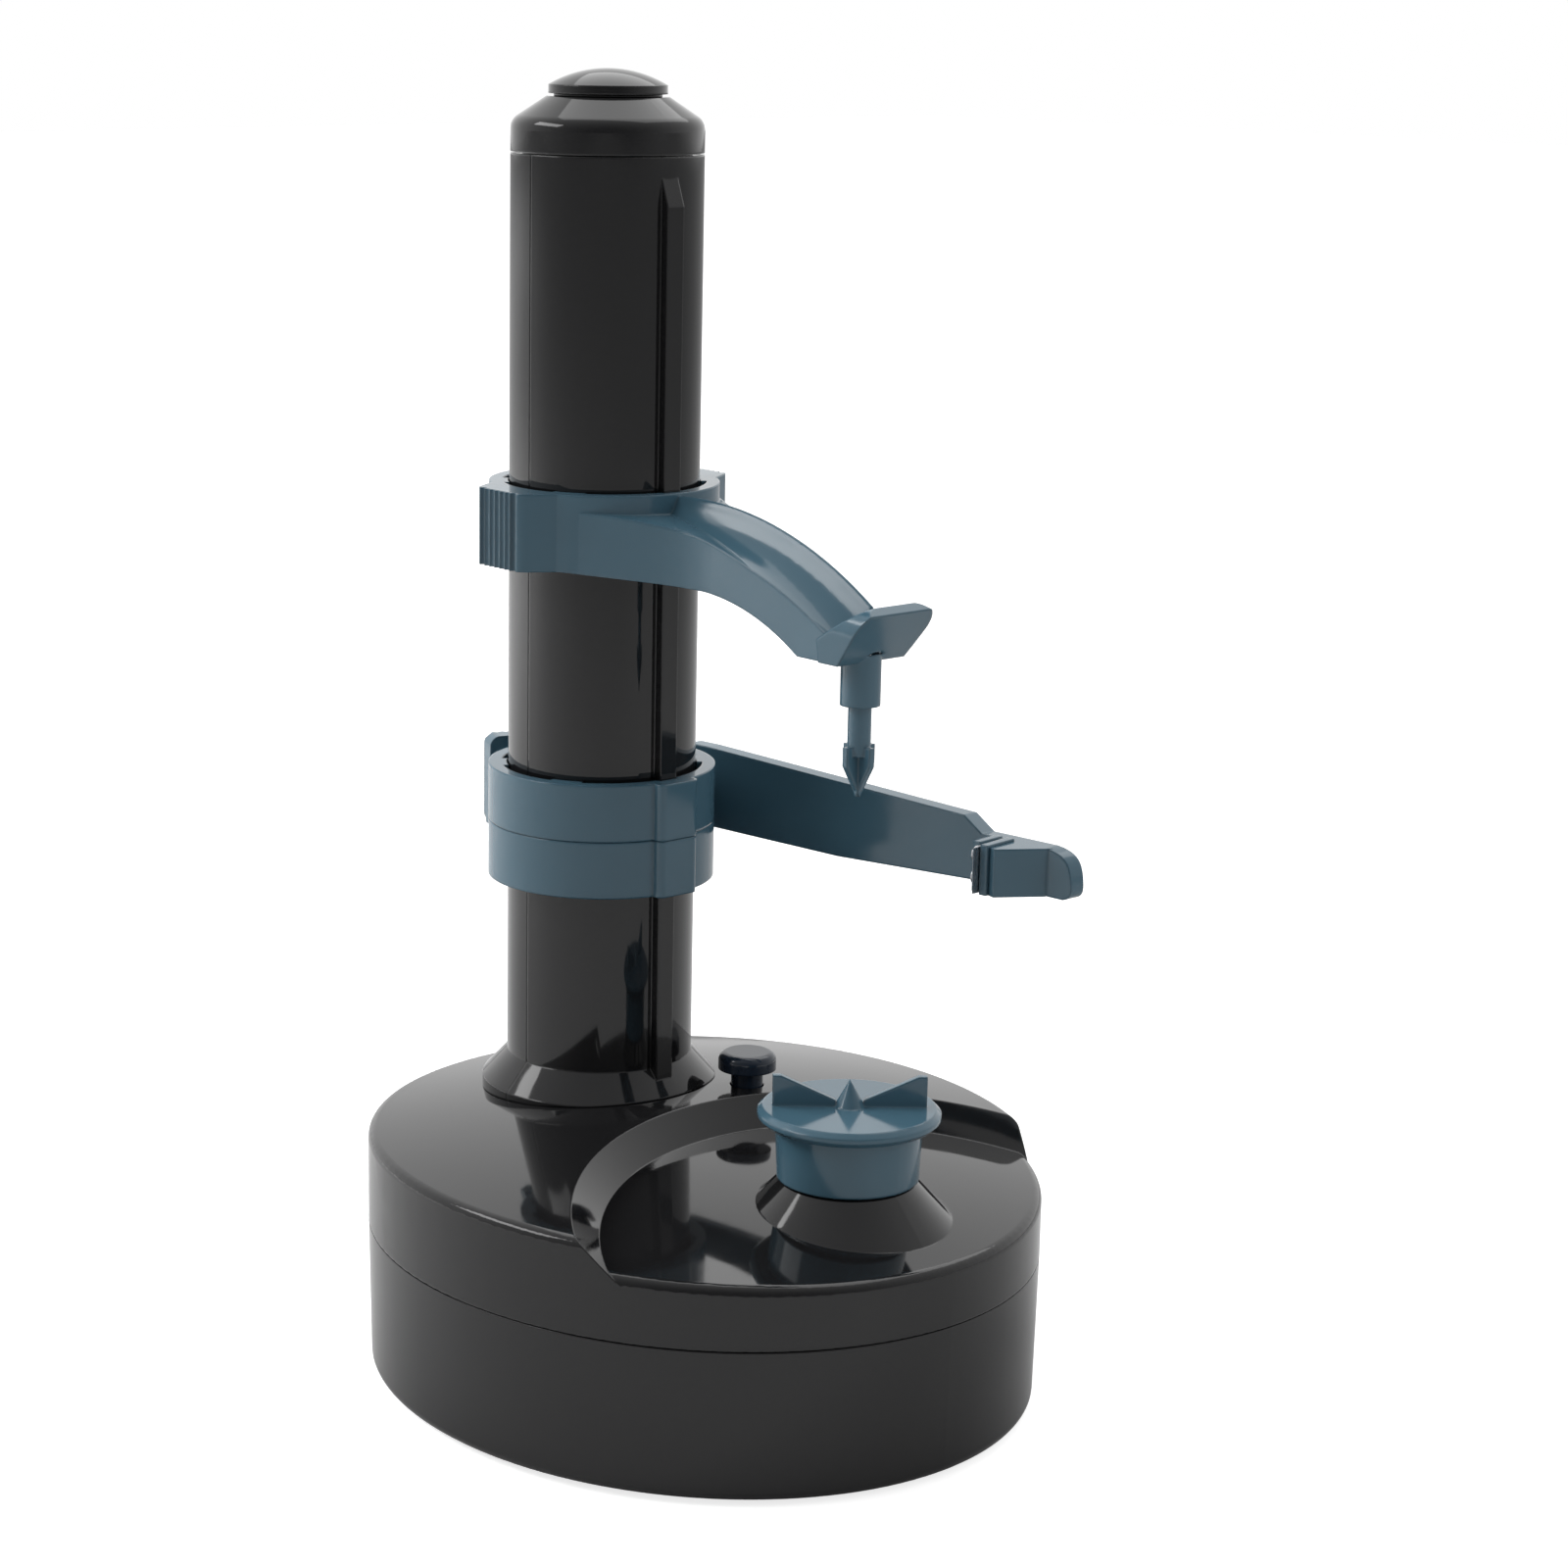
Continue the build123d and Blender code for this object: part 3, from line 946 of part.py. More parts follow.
def arm_torsion_spring():
    _, top = hub_span()
    z0 = top - SPRING_TURNS * SPRING_PITCH - SPRING_WIRE / 2
    path = spring_path(SPRING_RADIUS, SPRING_PITCH, SPRING_TURNS, z0)
    start = Plane(path @ 0, z_dir=path % 0)
    coil = sweep(start * Circle(SPRING_WIRE / 2), path=path)
    return Pos(PIVOT_X, PIVOT_Y, 0) * coil


# Peeling arm
def bar_profile():
    """Side view of the bar: deep at the root, stepped down to a rounded head."""
    low_top = hub_span()[1]
    mid = (HEAD_BOTTOM_Z + HEAD_TOP_Z) / 2
    round_low, round_high = (BAR_END_X - 2, HEAD_BOTTOM_Z), (BAR_END_X - HEAD_ROUND, HEAD_TOP_Z)
    side = Polyline((PIVOT_X, BAR_BOTTOM_Z), (BAR_BEND_X, BAR_BOTTOM_Z), (HEAD_X, HEAD_BOTTOM_Z), round_low)
    side += Spline(round_low, (BAR_END_X, mid - 1), round_high, tangents=[(1, 0.2), (-1, 0.12)])
    side += Polyline(round_high, (HEAD_X, HEAD_TOP_Z), (HEAD_X - 1.5 * HEAD_RISE, HEAD_TOP_Z + HEAD_RISE),
                     (BAR_ROOT_X + 5, BAR_TOP_Z), (BAR_ROOT_X - 1, BAR_TOP_Z), (BAR_ROOT_X - 9, low_top),
                     (PIVOT_X, low_top), (PIVOT_X, BAR_BOTTOM_Z))
    return extrude(Plane.XZ * make_face(side), 3 * TOWER_RADIUS, both=True)


def bar_plan():
    t = BAR_THICKNESS / 2
    route = Polyline((PIVOT_X, PIVOT_Y), (BAR_ROOT_X, BAR_ROOT_Y), (BAR_END_X, BAR_END_Y))
    band = offset(route, t, side=Side.BOTH)
    return Pos(0, 0, BAR_BOTTOM_Z - 5) * extrude(make_face(band.wire()), 3 * TOWER_RADIUS)


def thumb_tab():
    """Ribbed tab on the short end of the lever, behind the column."""
    reach = hypot(TAB_X - PIVOT_X, TAB_Y - PIVOT_Y)
    angle = degrees(atan2(TAB_Y - PIVOT_Y, TAB_X - PIVOT_X))
    z0, z1 = hub_span()
    half = LEVER_THICKNESS / 2
    lever = block(0, reach, -half, half, z0, z1)
    plate = block(reach - TAB_LENGTH, reach, -half - TAB_THICKNESS + half, half, TAB_BOTTOM_Z, TAB_TOP_Z)
    plate = fillet(plate.edges().filter_by(Axis.Y), 2.5)
    pitch = TAB_LENGTH / TAB_RIBS
    for i in range(TAB_RIBS):
        x = reach - TAB_LENGTH + (i + 0.5) * pitch
        plate -= rod(x, -TAB_THICKNESS - TAB_RIB_DEPTH / 3, TAB_BOTTOM_Z - 1, TAB_TOP_Z + 1, TAB_RIB_DEPTH)
    return Pos(PIVOT_X, PIVOT_Y, 0) * Rot(0, 0, angle) * (lever + plate)


def deflector():
    """Wedge beside the blade that turns the peel outward."""
    x0 = JAW_HALF_GAP + JAW_WIDTH + SEAT_CLEARANCE
    plan = Polyline((x0, -1), (x0, WEDGE_REACH - 0.6), (x0 + 1.8, WEDGE_REACH), (x0 + WEDGE_LENGTH, 0.6),
                    (x0 + WEDGE_LENGTH + 0.6, -1), close=True)
    wedge = Pos(0, 0, HEAD_BOTTOM_Z) * extrude(make_face(mirror(plan, Plane.YZ)), HEAD_TOP_Z - HEAD_BOTTOM_Z)
    return on_bar(wedge)


def peeling_arm():
    z0, z1 = hub_span()
    arm = (bar_profile() & bar_plan()) + rod(PIVOT_X, PIVOT_Y, z0, z1, EAR_RADIUS) + thumb_tab() + deflector()
    arm -= rod(PIVOT_X, PIVOT_Y, z0 - 1, z1 + 1, PIVOT_PIN_RADIUS + SHAFT_CLEARANCE)
    pocket = z1 - SPRING_TURNS * SPRING_PITCH - 3 * SPRING_WIRE / 2
    return arm - rod(PIVOT_X, PIVOT_Y, pocket, z1 + 1, SPRING_POCKET_RADIUS)


def on_bar(solid):
    """Places a piece on the bar's inner face: X back along the bar, Y away from it."""
    along = (BLADE_X - BAR_ROOT_X) / cos(radians(BAR_ANGLE))
    frame = Pos(BAR_ROOT_X, BAR_ROOT_Y, 0) * Rot(0, 0, BAR_ANGLE) * Pos(along, -BAR_THICKNESS / 2, 0)
    return frame * Rot(0, 0, 180) * solid


def rivet_holes():
    group = Part()
    for z in rivet_places():
        group += Pos(0, BLADE_REACH / 2, z) * Rot(0, 90, 0) * Cylinder(RIVET_RADIUS, 2 * CLIP_HALF_WIDTH)
    return group


def rivet_places():
    middle = (HEAD_BOTTOM_Z + HEAD_TOP_Z) / 2
    return [middle - RIVET_SPACING / 2, middle + RIVET_SPACING / 2]


def blade_clip():
    z0, z1 = HEAD_BOTTOM_Z, HEAD_TOP_Z
    jaw_x = JAW_HALF_GAP + JAW_WIDTH
    clip = block(-jaw_x, CLIP_HALF_WIDTH, 0, CLIP_BACK, z0, z1)
    clip += block(-jaw_x, -JAW_HALF_GAP, 0, JAW_REACH, z0, z1 + JAW_PROUD)
    clip += block(JAW_HALF_GAP, jaw_x, 0, JAW_REACH - 1.6, z0, z1 + JAW_PROUD)
    return on_bar(clip - rivet_holes())


def peeling_blade():
    half = BLADE_THICKNESS / 2
    bevel = BLADE_REACH - BLADE_BEVEL
    plan = Polyline((-half, CLIP_BACK), (half, CLIP_BACK), (half, bevel), (-half, BLADE_REACH), close=True)
    z0 = HEAD_BOTTOM_Z + BLADE_INSET
    strip = Pos(0, 0, z0) * extrude(make_face(plan), HEAD_TOP_Z - z0)
    return on_bar(strip - rivet_holes())


def blade_rivets():
    group = []
    jaw_x = JAW_HALF_GAP + JAW_WIDTH
    for z in rivet_places():
        y = BLADE_REACH / 2
        shank = Pos(0, y, z) * Rot(0, 90, 0) * Cylinder(RIVET_RADIUS, 2 * jaw_x)
        head = Pos(jaw_x + RIVET_HEAD / 2, y, z) * Rot(0, 90, 0) * Cylinder(RIVET_HEAD_RADIUS, RIVET_HEAD)
        group.append(on_bar(shank + head))
    return Compound(children=group)


# Start button and switches
def start_button():
    z0 = BUTTON_DECK_Z + BUTTON_UNDER
    z1 = z0 + BUTTON_CAP
    cap = rod(BUTTON_X, BUTTON_Y, z0, z1, BUTTON_RADIUS)
    cap = fillet(cap.edges().sort_by(Axis.Z)[-1], BUTTON_CAP * 0.45)
    stem = rod(BUTTON_X, BUTTON_Y, BUTTON_DECK_Z - BUTTON_STEM_BELOW, z0, BUTTON_STEM_RADIUS)
    z_clip = button_clip_z()
    groove = tube(BUTTON_X, BUTTON_Y, z_clip, z_clip + CLIP_THICKNESS, BUTTON_RADIUS, BUTTON_STEM_RADIUS - 1)
    return cap + stem - groove


def button_clip_z():
    return BUTTON_DECK_Z - SHELL_WALL - 3 * SLIDE_CLEARANCE - CLIP_THICKNESS


def button_retainer():
    z0 = button_clip_z()
    ring = tube(BUTTON_X, BUTTON_Y, z0, z0 + CLIP_THICKNESS, BUTTON_STEM_RADIUS + 1.2, BUTTON_STEM_RADIUS - 1)
    return ring - block(BUTTON_X, BUTTON_X + 2 * BUTTON_RADIUS, BUTTON_Y - 2, BUTTON_Y + 2, z0 - 1, z0 + 3)


def start_switch():
    z0 = switch_base_z()
    half_l, half_w = SWITCH_LENGTH / 2, SWITCH_WIDTH / 2
    case = block(-half_l, half_l, -half_w, half_w, z0, z0 + SWITCH_HEIGHT - 1)
    plunger = block(-half_l / 3, half_l / 3, -half_w / 2, half_w / 2, z0 + 1, z0 + SWITCH_HEIGHT)
    return Pos(BUTTON_X, BUTTON_Y, 0) * (case + plunger)


def limit_switch():
    """Stop switch clipped to the rear half's wall, under the slot's lower end."""
    z1 = NUT_Z - CARRIAGE_DOWN - SLOT_END_ROOM - 1
    z0 = z1 - SWITCH_LENGTH / 2
    half = SWITCH_WIDTH / 2
    case = block(TOWER_X - TOWER_RADIUS, TOWER_X - TOWER_BORE + SWITCH_HEIGHT, -half, half, z0, z1)
    return case & rod(TOWER_X, 0, z0, z1, TOWER_BORE - SEAT_CLEARANCE)


TOWER = tower_body()
NODES = {
    "base_upper_shell": base_upper_shell(),
    "base_lower_shell": base_lower_shell(),
    "battery_door": battery_door(),
    "battery_cells": battery_cells(),
    "battery_contacts": battery_contacts(),
    "rubber_feet": rubber_feet(),
    "base_screws": base_screws(),
    "tower_front_shell": tower_half(TOWER, 1),
    "tower_rear_shell": tower_half(TOWER, -1),
    "tower_cap": tower_cap(),
    "cap_finial": cap_finial(),
    "tower_clamp_plate": tower_clamp_plate(),
    "tower_screws": tower_screws(),
    "gear_plate": gear_plate(),
    "gear_plate_screws": gear_plate_screws(),
    "spindle_shaft": spindle_shaft(),
    "spindle_gear": spindle_gear(),
    "spindle_bush": spindle_bush(),
    "idler_gear": idler_gear(),
    "idler_axle": idler_axle(),
    "compound_gear": compound_gear(),
    "compound_axle": compound_axle(),
    "motor": motor(),
    "motor_pinion": motor_pinion(),
    "lead_screw": lead_screw(),
    "screw_gear": screw_gear(),
    "screw_bush": screw_bush(),
    "screw_top_bush": screw_top_bush(),
    "fruit_holder": fruit_holder(),
    "top_holder_arm": top_holder_arm(),
    "top_spike": top_spike(),
    "spike_retainer": spike_retainer(),
    "carriage_upper_ring": carriage_upper_ring(),
    "carriage_lower_ring": carriage_lower_ring(),
    "half_nut": half_nut(),
    "arm_pivot_pin": arm_pivot_pin(),
    "arm_torsion_spring": arm_torsion_spring(),
    "peeling_arm": peeling_arm(),
    "blade_clip": blade_clip(),
    "peeling_blade": peeling_blade(),
    "blade_rivets": blade_rivets(),
    "start_button": start_button(),
    "button_retainer": button_retainer(),
    "start_switch": start_switch(),
    "limit_switch": limit_switch(),
}

for name, solid in NODES.items():
    export_step(solid, f"parts/{name}.step")
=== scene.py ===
"""Looks of the electric fruit peeler: materials, softened edges, threaded lead screw, camera, studio."""

import json
from math import cos, pi, sin

import bmesh
import bpy
from mathutils import Matrix, Vector


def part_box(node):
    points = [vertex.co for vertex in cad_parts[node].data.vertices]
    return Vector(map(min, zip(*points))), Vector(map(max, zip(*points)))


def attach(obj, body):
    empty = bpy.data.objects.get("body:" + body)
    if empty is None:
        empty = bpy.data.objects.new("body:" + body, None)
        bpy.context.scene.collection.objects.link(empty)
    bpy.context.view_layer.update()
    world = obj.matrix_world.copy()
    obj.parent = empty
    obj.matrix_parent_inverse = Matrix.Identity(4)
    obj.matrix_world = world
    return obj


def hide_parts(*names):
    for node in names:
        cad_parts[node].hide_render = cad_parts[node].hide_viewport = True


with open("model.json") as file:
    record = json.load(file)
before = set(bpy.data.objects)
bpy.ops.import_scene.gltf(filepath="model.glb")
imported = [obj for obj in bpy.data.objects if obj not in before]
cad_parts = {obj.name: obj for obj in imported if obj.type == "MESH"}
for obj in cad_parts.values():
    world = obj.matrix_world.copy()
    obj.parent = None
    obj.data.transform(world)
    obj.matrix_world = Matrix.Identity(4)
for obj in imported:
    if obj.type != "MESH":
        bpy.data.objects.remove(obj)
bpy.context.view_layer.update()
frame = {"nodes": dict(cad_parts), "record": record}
nodes = frame["nodes"]
collection = bpy.context.scene.collection

# Colours, linear
BLACK = (0.0085, 0.0085, 0.009)
TEAL = (0.050, 0.108, 0.148)
# start button: its teal darkened to a deep navy, painted shade
TEAL_IN_PAINTED_SHADE = (0.012, 0.020, 0.034)
STEEL = (0.58, 0.59, 0.61)
PLATED = (0.50, 0.51, 0.53)
NYLON = (0.78, 0.76, 0.70)
BRASS = (0.62, 0.45, 0.18)
INNER = (0.05, 0.05, 0.052)
SLEEVE = (0.10, 0.22, 0.13)
RUBBER = (0.012, 0.012, 0.012)
WHITE = (1, 1, 1, 1)

# Surface detail: edge radii and depths in metres
NOISE_LOW = 0.3  # most of a noise lies between these two
NOISE_HIGH = 0.7
BEVEL_SAMPLES = 8
PLASTIC_EDGE = 0.0005
PLASTIC_IOR = 1.52
WAVE_DEPTH = 0.0006
GRAIN_DEPTH = 0.00008
METAL_EDGE = 0.0001
GRIND_STRENGTH = 0.22
GRIND_DEPTH = 0.00006
RUBBER_EDGE = 0.0004
RUBBER_STRENGTH = 0.35
RUBBER_DEPTH = 0.0002


# Materials
class Look:
    """One material, with short calls that build its node tree."""

    def __init__(self, name):
        self.material = bpy.data.materials.new(name)
        self.material.use_nodes = True
        self.tree = self.material.node_tree
        self.shader = self.tree.nodes["Principled BSDF"]

    def add(self, kind, **values):
        """New node. A value goes to the input of that name, or else to the node's own setting."""
        node = self.tree.nodes.new(kind)
        for key, value in values.items():
            if key in node.inputs:
                node.inputs[key].default_value = value
            else:
                setattr(node, key, value)
        return node

    def link(self, source, target):
        self.tree.links.new(source, target)

    def place(self, stretch=(1, 1, 1)):
        """The piece's own coordinates in metres, scaled along its axes."""
        coord = self.add("ShaderNodeTexCoord")
        mapping = self.add("ShaderNodeMapping", Scale=stretch)
        self.link(coord.outputs["Object"], mapping.inputs["Vector"])
        return mapping.outputs["Vector"]

    def noise(self, vector, scale, detail=3.0, roughness=0.55):
        node = self.add("ShaderNodeTexNoise", Scale=scale, Detail=detail, Roughness=roughness)
        self.link(vector, node.inputs["Vector"])
        return node.outputs["Fac"]

    def shades(self, source, dark, light):
        """Base colour that drifts from dark to light."""
        ramp = self.add("ShaderNodeValToRGB")
        low, high = ramp.color_ramp.elements
        low.position = NOISE_LOW
        low.color = (*dark, 1)
        high.position = NOISE_HIGH
        high.color = (*light, 1)
        self.link(source, ramp.inputs["Fac"])
        self.link(ramp.outputs["Color"], self.shader.inputs["Base Color"])

    def rough(self, source, low, high):
        """Roughness that drifts from low to high."""
        spread = self.add("ShaderNodeMapRange")
        spread.inputs["From Min"].default_value = NOISE_LOW
        spread.inputs["From Max"].default_value = NOISE_HIGH
        spread.inputs["To Min"].default_value = low
        spread.inputs["To Max"].default_value = high
        self.link(source, spread.inputs["Value"])
        self.link(spread.outputs["Result"], self.shader.inputs["Roughness"])

    def bumps(self, edge, *layers):
        """Rounds edges to a radius, then stacks (height, strength, depth) layers on the surface."""
        normal = self.add("ShaderNodeBevel", samples=BEVEL_SAMPLES, Radius=edge).outputs["Normal"]
        for height, strength, depth in layers:
            bump = self.add("ShaderNodeBump", Strength=strength, Distance=depth)
            self.link(height, bump.inputs["Height"])
            self.link(normal, bump.inputs["Normal"])
            normal = bump.outputs["Normal"]
        self.link(normal, self.shader.inputs["Normal"])


def scaled(colour, factor):
    return tuple(min(1.0, channel * factor) for channel in colour)


def moulded(name, colour, roughness, edge=PLASTIC_EDGE, waviness=0.05, graininess=0.03):
    """Injection moulded plastic: slow flow waves, fine skin grain and a drifting gloss."""
    look = Look(name)
    at = look.place()
    look.shades(look.noise(at, scale=38, detail=2.0), scaled(colour, 0.96), scaled(colour, 1.04))
    look.rough(look.noise(at, scale=130, detail=4.0), *roughness)
    waves = look.noise(at, scale=55, detail=1.0)
    grain = look.noise(at, scale=2600, detail=2.0)
    look.bumps(edge, (waves, waviness, WAVE_DEPTH), (grain, graininess, GRAIN_DEPTH))
    look.shader.inputs["IOR"].default_value = PLASTIC_IOR
    return look.material


def ground_metal(name, colour, roughness, stretch):
    """Metal with fine grinding lines along the axis whose scale is smallest."""
    look = Look(name)
    lines = look.noise(look.place(stretch), scale=900, detail=5.0, roughness=0.7)
    look.shades(look.noise(look.place(), scale=160), scaled(colour, 0.9), scaled(colour, 1.06))
    look.rough(lines, *roughness)
    look.bumps(METAL_EDGE, (lines, GRIND_STRENGTH, GRIND_DEPTH))
    look.shader.inputs["Metallic"].default_value = 1.0
    return look.material


def rubber(name, colour, roughness):
    """Matt rubber with a coarse skin."""
    look = Look(name)
    at = look.place()
    grain = look.noise(at, scale=1500, detail=4.0, roughness=0.7)
    look.shades(look.noise(at, scale=90), scaled(colour, 0.8), scaled(colour, 1.5))
    look.rough(grain, *roughness)
    look.bumps(RUBBER_EDGE, (grain, RUBBER_STRENGTH, RUBBER_DEPTH))
    return look.material


SLOTS = {
    "black_plastic": moulded(
        "black_gloss", BLACK, roughness=(0.04, 0.08), waviness=0.02, graininess=0.01
    ),
    "teal_plastic": moulded(
        "teal_gloss", TEAL, roughness=(0.10, 0.16), edge=0.0007, waviness=0.02, graininess=0.015
    ),
    # start button: teal darkened with painted shade to a deep navy
    "navy_plastic": moulded("teal_gloss_painted_shade", TEAL_IN_PAINTED_SHADE, roughness=(0.10, 0.16), waviness=0.02),
    "blade_steel": ground_metal("blade_steel", STEEL, roughness=(0.16, 0.34), stretch=(1, 1, 0.04)),
    "plated_steel": ground_metal("plated_steel", PLATED, roughness=(0.24, 0.40), stretch=(1, 1, 0.3)),
    "gear_nylon": moulded(
        "gear_nylon", NYLON, roughness=(0.38, 0.52), waviness=0.08, graininess=0.08
    ),
    "pinion_brass": ground_metal("pinion_brass", BRASS, roughness=(0.22, 0.36), stretch=(1, 1, 0.2)),
    "inner_plastic": moulded("inner_plastic", INNER, roughness=(0.42, 0.58), graininess=0.12),
    "cell_wrap": moulded("cell_wrap", SLEEVE, roughness=(0.28, 0.40)),
    "foot_rubber": rubber("foot_rubber", RUBBER, roughness=(0.7, 0.9)),
}
NODE_SLOT = {part["node"]: part["material_slot"] for part in frame["record"]["subparts"]}
for name, node in nodes.items():
    node.data.materials.clear()
    node.data.materials.append(SLOTS[NODE_SLOT[name]])


# Lead screw with its thread, seen through the slot behind the column; metres and radians
THREAD_PITCH = 0.003
THREAD_DEPTH = 0.0011
THREAD_PROFILE = ((0.0, 0), (0.28, 0), (0.46, 1), (0.82, 1))  # share of the pitch, share of the depth
THREAD_SIDES = 36
SIDE_ANGLE = 2 * pi / THREAD_SIDES
SIDE_RISE = THREAD_PITCH / THREAD_SIDES
JOURNAL_RADIUS = 0.003
JOURNAL_TOP = 0.0306
PLAIN_TOP = 0.060
TOP_SEAT = 0.0075
THREAD_RELIEF = 0.001
CREST_RELIEF = 0.00005
SHARP_ANGLE = 0.6


def point(bm, centre, radius, side, z):
    angle = side * SIDE_ANGLE
    return bm.verts.new((centre.x + radius * cos(angle), centre.y + radius * sin(angle), z))


def spun(bm, centre, stations):
    """Closed solid of revolution through (height, radius) stations."""
    rings = [[point(bm, centre, radius, i, z) for i in range(THREAD_SIDES)] for z, radius in stations]
    for low, high in zip(rings, rings[1:]):
        for i in range(THREAD_SIDES):
            j = (i + 1) % THREAD_SIDES
            bm.faces.new((low[i], low[j], high[j], high[i]))
    bm.faces.new(list(reversed(rings[0])))
    bm.faces.new(rings[-1])


def close_end(bm, centre, z, loop):
    """Fan of faces from a point on the axis to a loop."""
    tip = bm.verts.new((centre.x, centre.y, z))
    for a, b in zip(loop, loop[1:] + loop[:1]):
        bm.faces.new((tip, b, a))


def thread(bm, centre, z0, z1, crest):
    """Ridge wound up the screw, its two ends closed onto the axis inside the plain seats."""
    turns = int((z1 - z0) / THREAD_PITCH) - 1
    count = turns * THREAD_SIDES
    lines = []
    for share, height in THREAD_PROFILE:
        radius = crest - THREAD_DEPTH * (1 - height)
        start = z0 + THREAD_PITCH * share
        sides = count if lines else count + THREAD_SIDES  # the first line goes one turn on, to meet the last
        lines.append([point(bm, centre, radius, i, start + SIDE_RISE * i) for i in range(sides + 1)])
    root, last = lines[0], lines[-1]
    for low, high in zip(lines, lines[1:]):
        for i in range(count):
            bm.faces.new((low[i], low[i + 1], high[i + 1], high[i]))
    for i in range(count):
        bm.faces.new((last[i], last[i + 1], root[i + 1 + THREAD_SIDES], root[i + THREAD_SIDES]))
    low_end = [line[0] for line in reversed(lines)] + root[1:THREAD_SIDES + 1]
    high_end = root[count:] + [line[count] for line in reversed(lines[1:])]
    close_end(bm, centre, z0 + THREAD_PITCH / 2, low_end)
    close_end(bm, centre, z0 + THREAD_PITCH * (turns + 0.5), list(reversed(high_end)))


def lead_screw():
    low, high = (Vector(corner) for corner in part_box("lead_screw"))
    centre = (low + high) / 2
    radius = (high.x - low.x) / 2
    foot = (
        (low.z, JOURNAL_RADIUS),
        (JOURNAL_TOP, JOURNAL_RADIUS),
        (JOURNAL_TOP, radius),
        (PLAIN_TOP, radius),
    )
    head = ((high.z - TOP_SEAT, radius), (high.z, radius))
    bm = bmesh.new()
    thread(bm, centre, PLAIN_TOP - THREAD_PITCH, high.z - THREAD_RELIEF, radius - CREST_RELIEF)
    spun(bm, centre, foot)
    spun(bm, centre, head)
    bmesh.ops.recalc_face_normals(bm, faces=bm.faces)
    mesh = bpy.data.meshes.new("threaded_lead_screw")
    bm.to_mesh(mesh)
    bm.free()
    mesh.shade_smooth()
    mesh.set_sharp_from_angle(angle=SHARP_ANGLE)
    mesh.materials.append(SLOTS["gear_nylon"])
    piece = bpy.data.objects.new("threaded_lead_screw", mesh)
    collection.objects.link(piece)
    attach(piece, "screw_drive")
    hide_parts("lead_screw")


lead_screw()


# Camera at the photograph's view; lens in millimetres, shift in frame widths
CAMERA_PLACE = (0.5569, -0.4875, 0.3076)
CAMERA_HEADING = (-0.766, 0.643)
CAMERA_PITCH = 0.22267
CAMERA_ROLL = 0.012
SENSOR_WIDTH = 36.0
FOCAL_LENGTH = 78.75
SHIFT_RIGHT = 0.0928
SHIFT_UP = -0.0095
CLIP_START = 0.01


def aim(camera):
    x, y = CAMERA_HEADING
    level = cos(CAMERA_PITCH)
    forward = Vector((x * level, y * level, -sin(CAMERA_PITCH))).normalized()
    right = Vector((y, -x, 0)).normalized()
    up = right.cross(forward)
    tilted = right * cos(CAMERA_ROLL) + up * sin(CAMERA_ROLL)
    turn = Matrix((tilted, tilted.cross(forward), -forward)).transposed()
    camera.matrix_world = Matrix.Translation(CAMERA_PLACE) @ turn.to_4x4()


lens = bpy.data.cameras.new("view")
lens.sensor_width = SENSOR_WIDTH
lens.lens = FOCAL_LENGTH
lens.shift_x = SHIFT_RIGHT
lens.shift_y = SHIFT_UP
lens.clip_start = CLIP_START
camera = bpy.data.objects.new("view", lens)
collection.objects.link(camera)
aim(camera)
bpy.context.scene.camera = camera


# Studio: a surround that is white behind the part and dim in front of it, and a pale floor
TOWARDS_FRONT = (0.75, -0.62, 0.0)
BACK_END = -0.7
FRONT_END = 0.9
BACK_LIGHT = (1.1, 1.1, 1.1, 1)
FRONT_LIGHT = (0.16, 0.16, 0.165, 1)
MIX_FACTOR, MIX_A, MIX_B, MIX_RESULT = 0, 6, 7, 2  # the Mix node's sockets when it mixes colours
FLOOR_HALF = 6.0
FLOOR_CELLS = 8
FLOOR_LEVEL = -0.0002  # just under the feet, so that the two don't share a plane
FLOOR_DARK = (0.49, 0.49, 0.49)
FLOOR_LIGHT = (0.51, 0.51, 0.51)
FLOOR_ROUGHNESS = 0.85
FLOOR_SPECULAR = 0.1
FLOOR_LIFT = 0.78  # makes the floor white for the camera alone


def softbox(name, place, target, size, watts, mirrored=True):
    """Area lamp that faces its target. Gloss shows it only where mirrored is true."""
    data = bpy.data.lights.new(name, "AREA")
    data.shape = "RECTANGLE"
    data.size, data.size_y = size
    data.energy = watts
    lamp = bpy.data.objects.new(name, data)
    collection.objects.link(lamp)
    lamp.location = place
    lamp.rotation_euler = (Vector(target) - Vector(place)).to_track_quat("-Z", "Y").to_euler()
    lamp.visible_glossy = mirrored


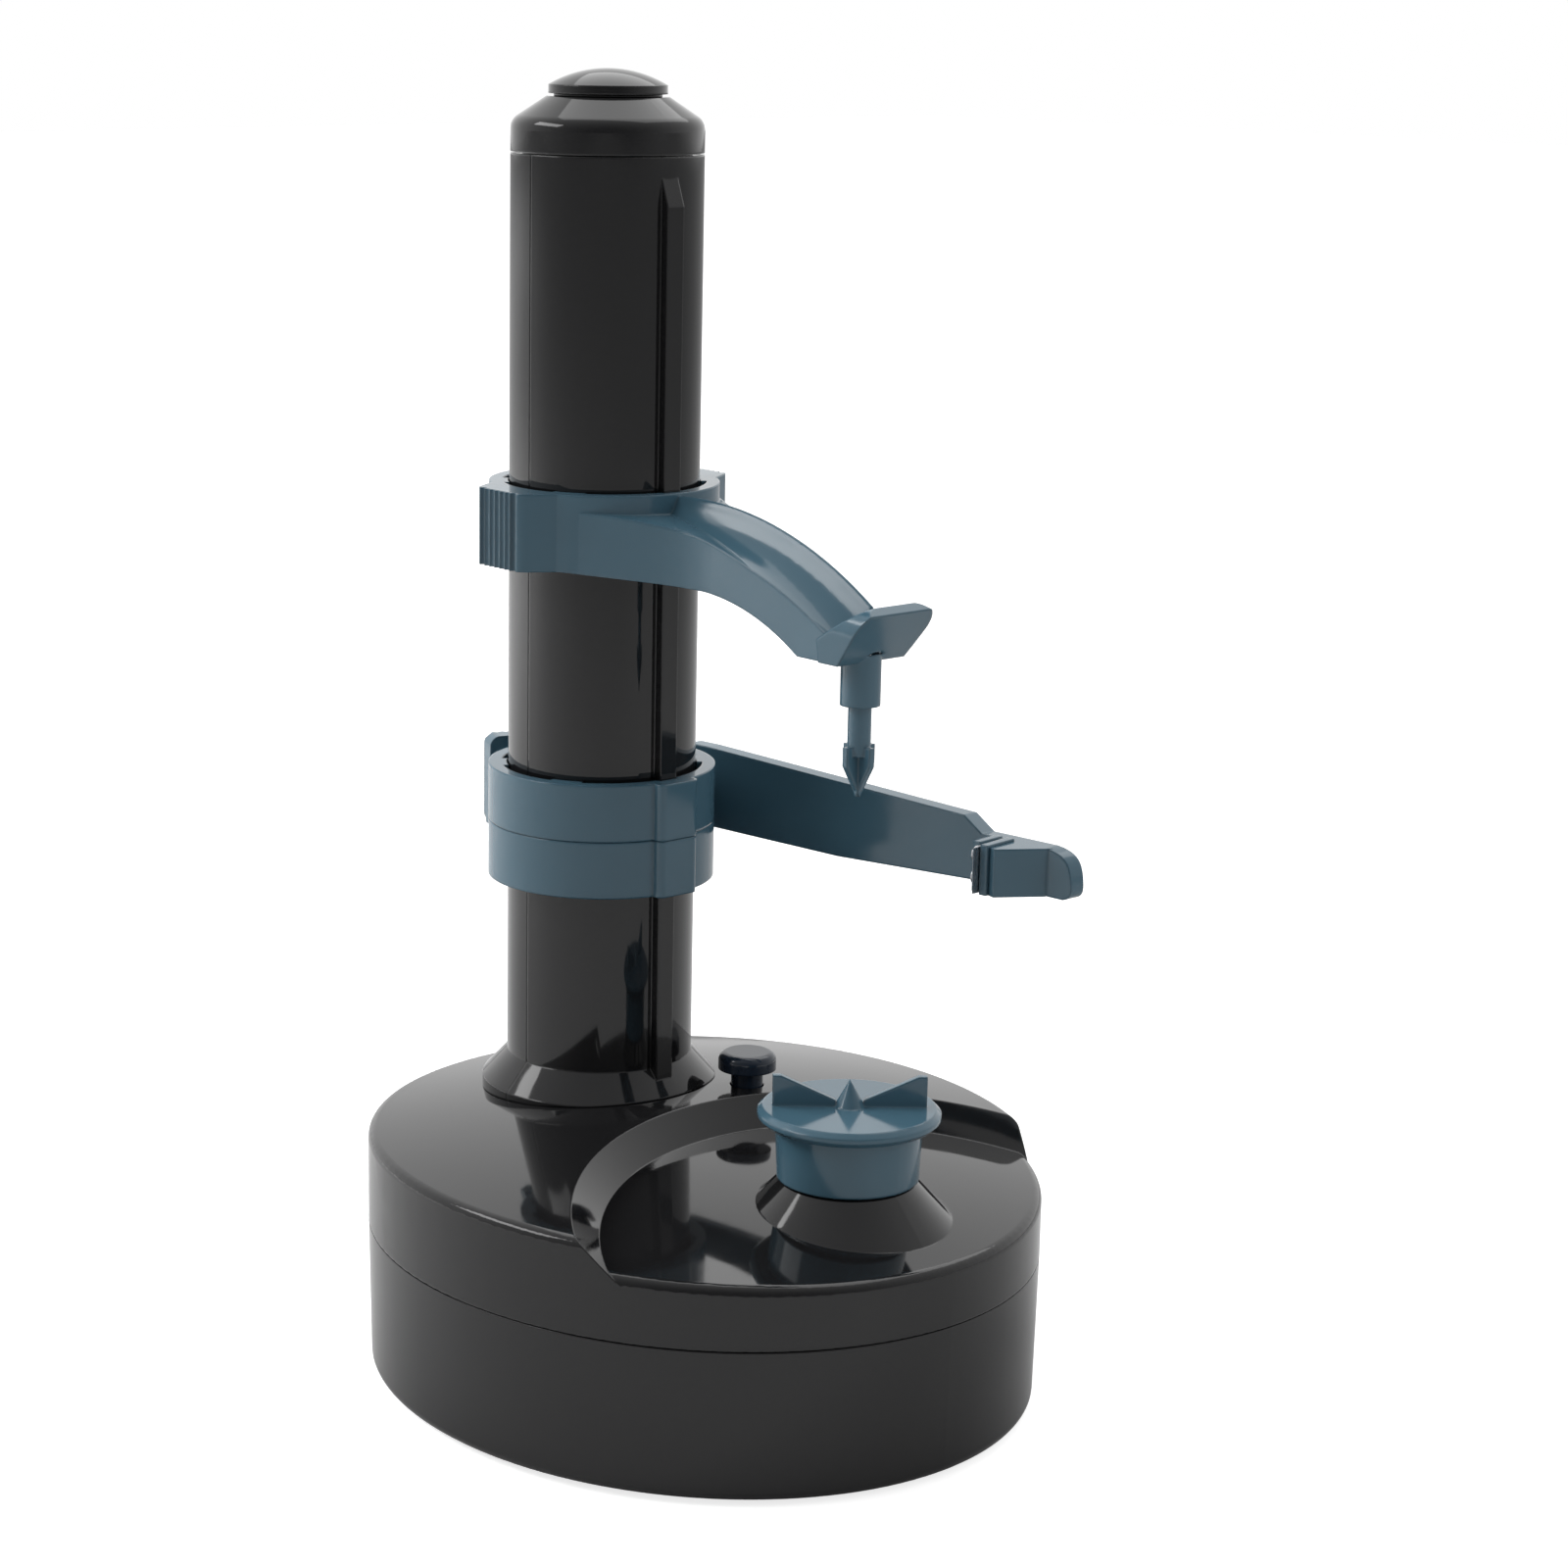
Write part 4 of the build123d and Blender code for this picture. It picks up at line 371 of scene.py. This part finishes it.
def studio_world():
    world = bpy.data.worlds.new("studio")
    bpy.context.scene.world = world
    world.use_nodes = True
    tree = world.node_tree
    background = tree.nodes["Background"]
    background.inputs["Strength"].default_value = 1.0
    coord = tree.nodes.new("ShaderNodeTexCoord")
    dot = tree.nodes.new("ShaderNodeVectorMath")
    dot.operation = "DOT_PRODUCT"
    dot.inputs[1].default_value = TOWARDS_FRONT
    spread = tree.nodes.new("ShaderNodeMapRange")
    spread.inputs["From Min"].default_value = BACK_END
    spread.inputs["From Max"].default_value = FRONT_END
    ramp = tree.nodes.new("ShaderNodeValToRGB")
    ramp.color_ramp.elements[0].color = BACK_LIGHT
    ramp.color_ramp.elements[1].color = FRONT_LIGHT
    path = tree.nodes.new("ShaderNodeLightPath")
    mix = tree.nodes.new("ShaderNodeMix")
    mix.data_type = "RGBA"
    mix.inputs[MIX_B].default_value = WHITE
    links = tree.links
    links.new(coord.outputs["Generated"], dot.inputs[0])
    links.new(dot.outputs["Value"], spread.inputs["Value"])
    links.new(spread.outputs["Result"], ramp.inputs["Fac"])
    links.new(path.outputs["Is Camera Ray"], mix.inputs[MIX_FACTOR])
    links.new(ramp.outputs["Color"], mix.inputs[MIX_A])
    links.new(mix.outputs[MIX_RESULT], background.inputs["Color"])


def floor():
    bm = bmesh.new()
    bmesh.ops.create_grid(bm, x_segments=FLOOR_CELLS, y_segments=FLOOR_CELLS, size=FLOOR_HALF)
    mesh = bpy.data.meshes.new("floor")
    bm.to_mesh(mesh)
    bm.free()
    plane = bpy.data.objects.new("floor", mesh)
    plane.location.z = FLOOR_LEVEL
    collection.objects.link(plane)
    look = Look("floor_paper")
    look.shades(look.noise(look.place(), scale=2.0, detail=2.0), FLOOR_DARK, FLOOR_LIGHT)
    look.shader.inputs["Roughness"].default_value = FLOOR_ROUGHNESS
    look.shader.inputs["Specular IOR Level"].default_value = FLOOR_SPECULAR
    look.shader.inputs["Emission Color"].default_value = WHITE
    path = look.add("ShaderNodeLightPath")
    lift = look.add("ShaderNodeMath", operation="MULTIPLY")
    lift.inputs[1].default_value = FLOOR_LIFT
    look.link(path.outputs["Is Camera Ray"], lift.inputs[0])
    look.link(lift.outputs["Value"], look.shader.inputs["Emission Strength"])
    mesh.materials.append(look.material)


bpy.context.scene.view_settings.view_transform = "Standard"
studio_world()
floor()
softbox("key", (-0.75, -1.05, 1.1), target=(0, 0, 0.16), size=(1.0, 0.4), watts=6)
softbox("soft", (-0.9, -1.2, 1.3), target=(0, 0, 0.14), size=(0.9, 0.9), watts=5, mirrored=False)
softbox("fill", (1.0, 0.35, 0.85), target=(0, 0, 0.2), size=(0.5, 1.1), watts=4, mirrored=False)
softbox("top", (-0.35, 0.55, 1.2), target=(-0.2, 0.3, 0.15), size=(1.2, 1.2), watts=5)

# These two light the floor on the left, which the column mirrors
softbox("sweep", (-1.0, -0.5, 0.65), target=(-1.0, -0.5, 0), size=(0.7, 0.7), watts=12, mirrored=False)
softbox("far_sweep", (-3.2, -1.3, 2.0), target=(-3.2, -1.3, 0), size=(2.0, 2.0), watts=90, mirrored=False)
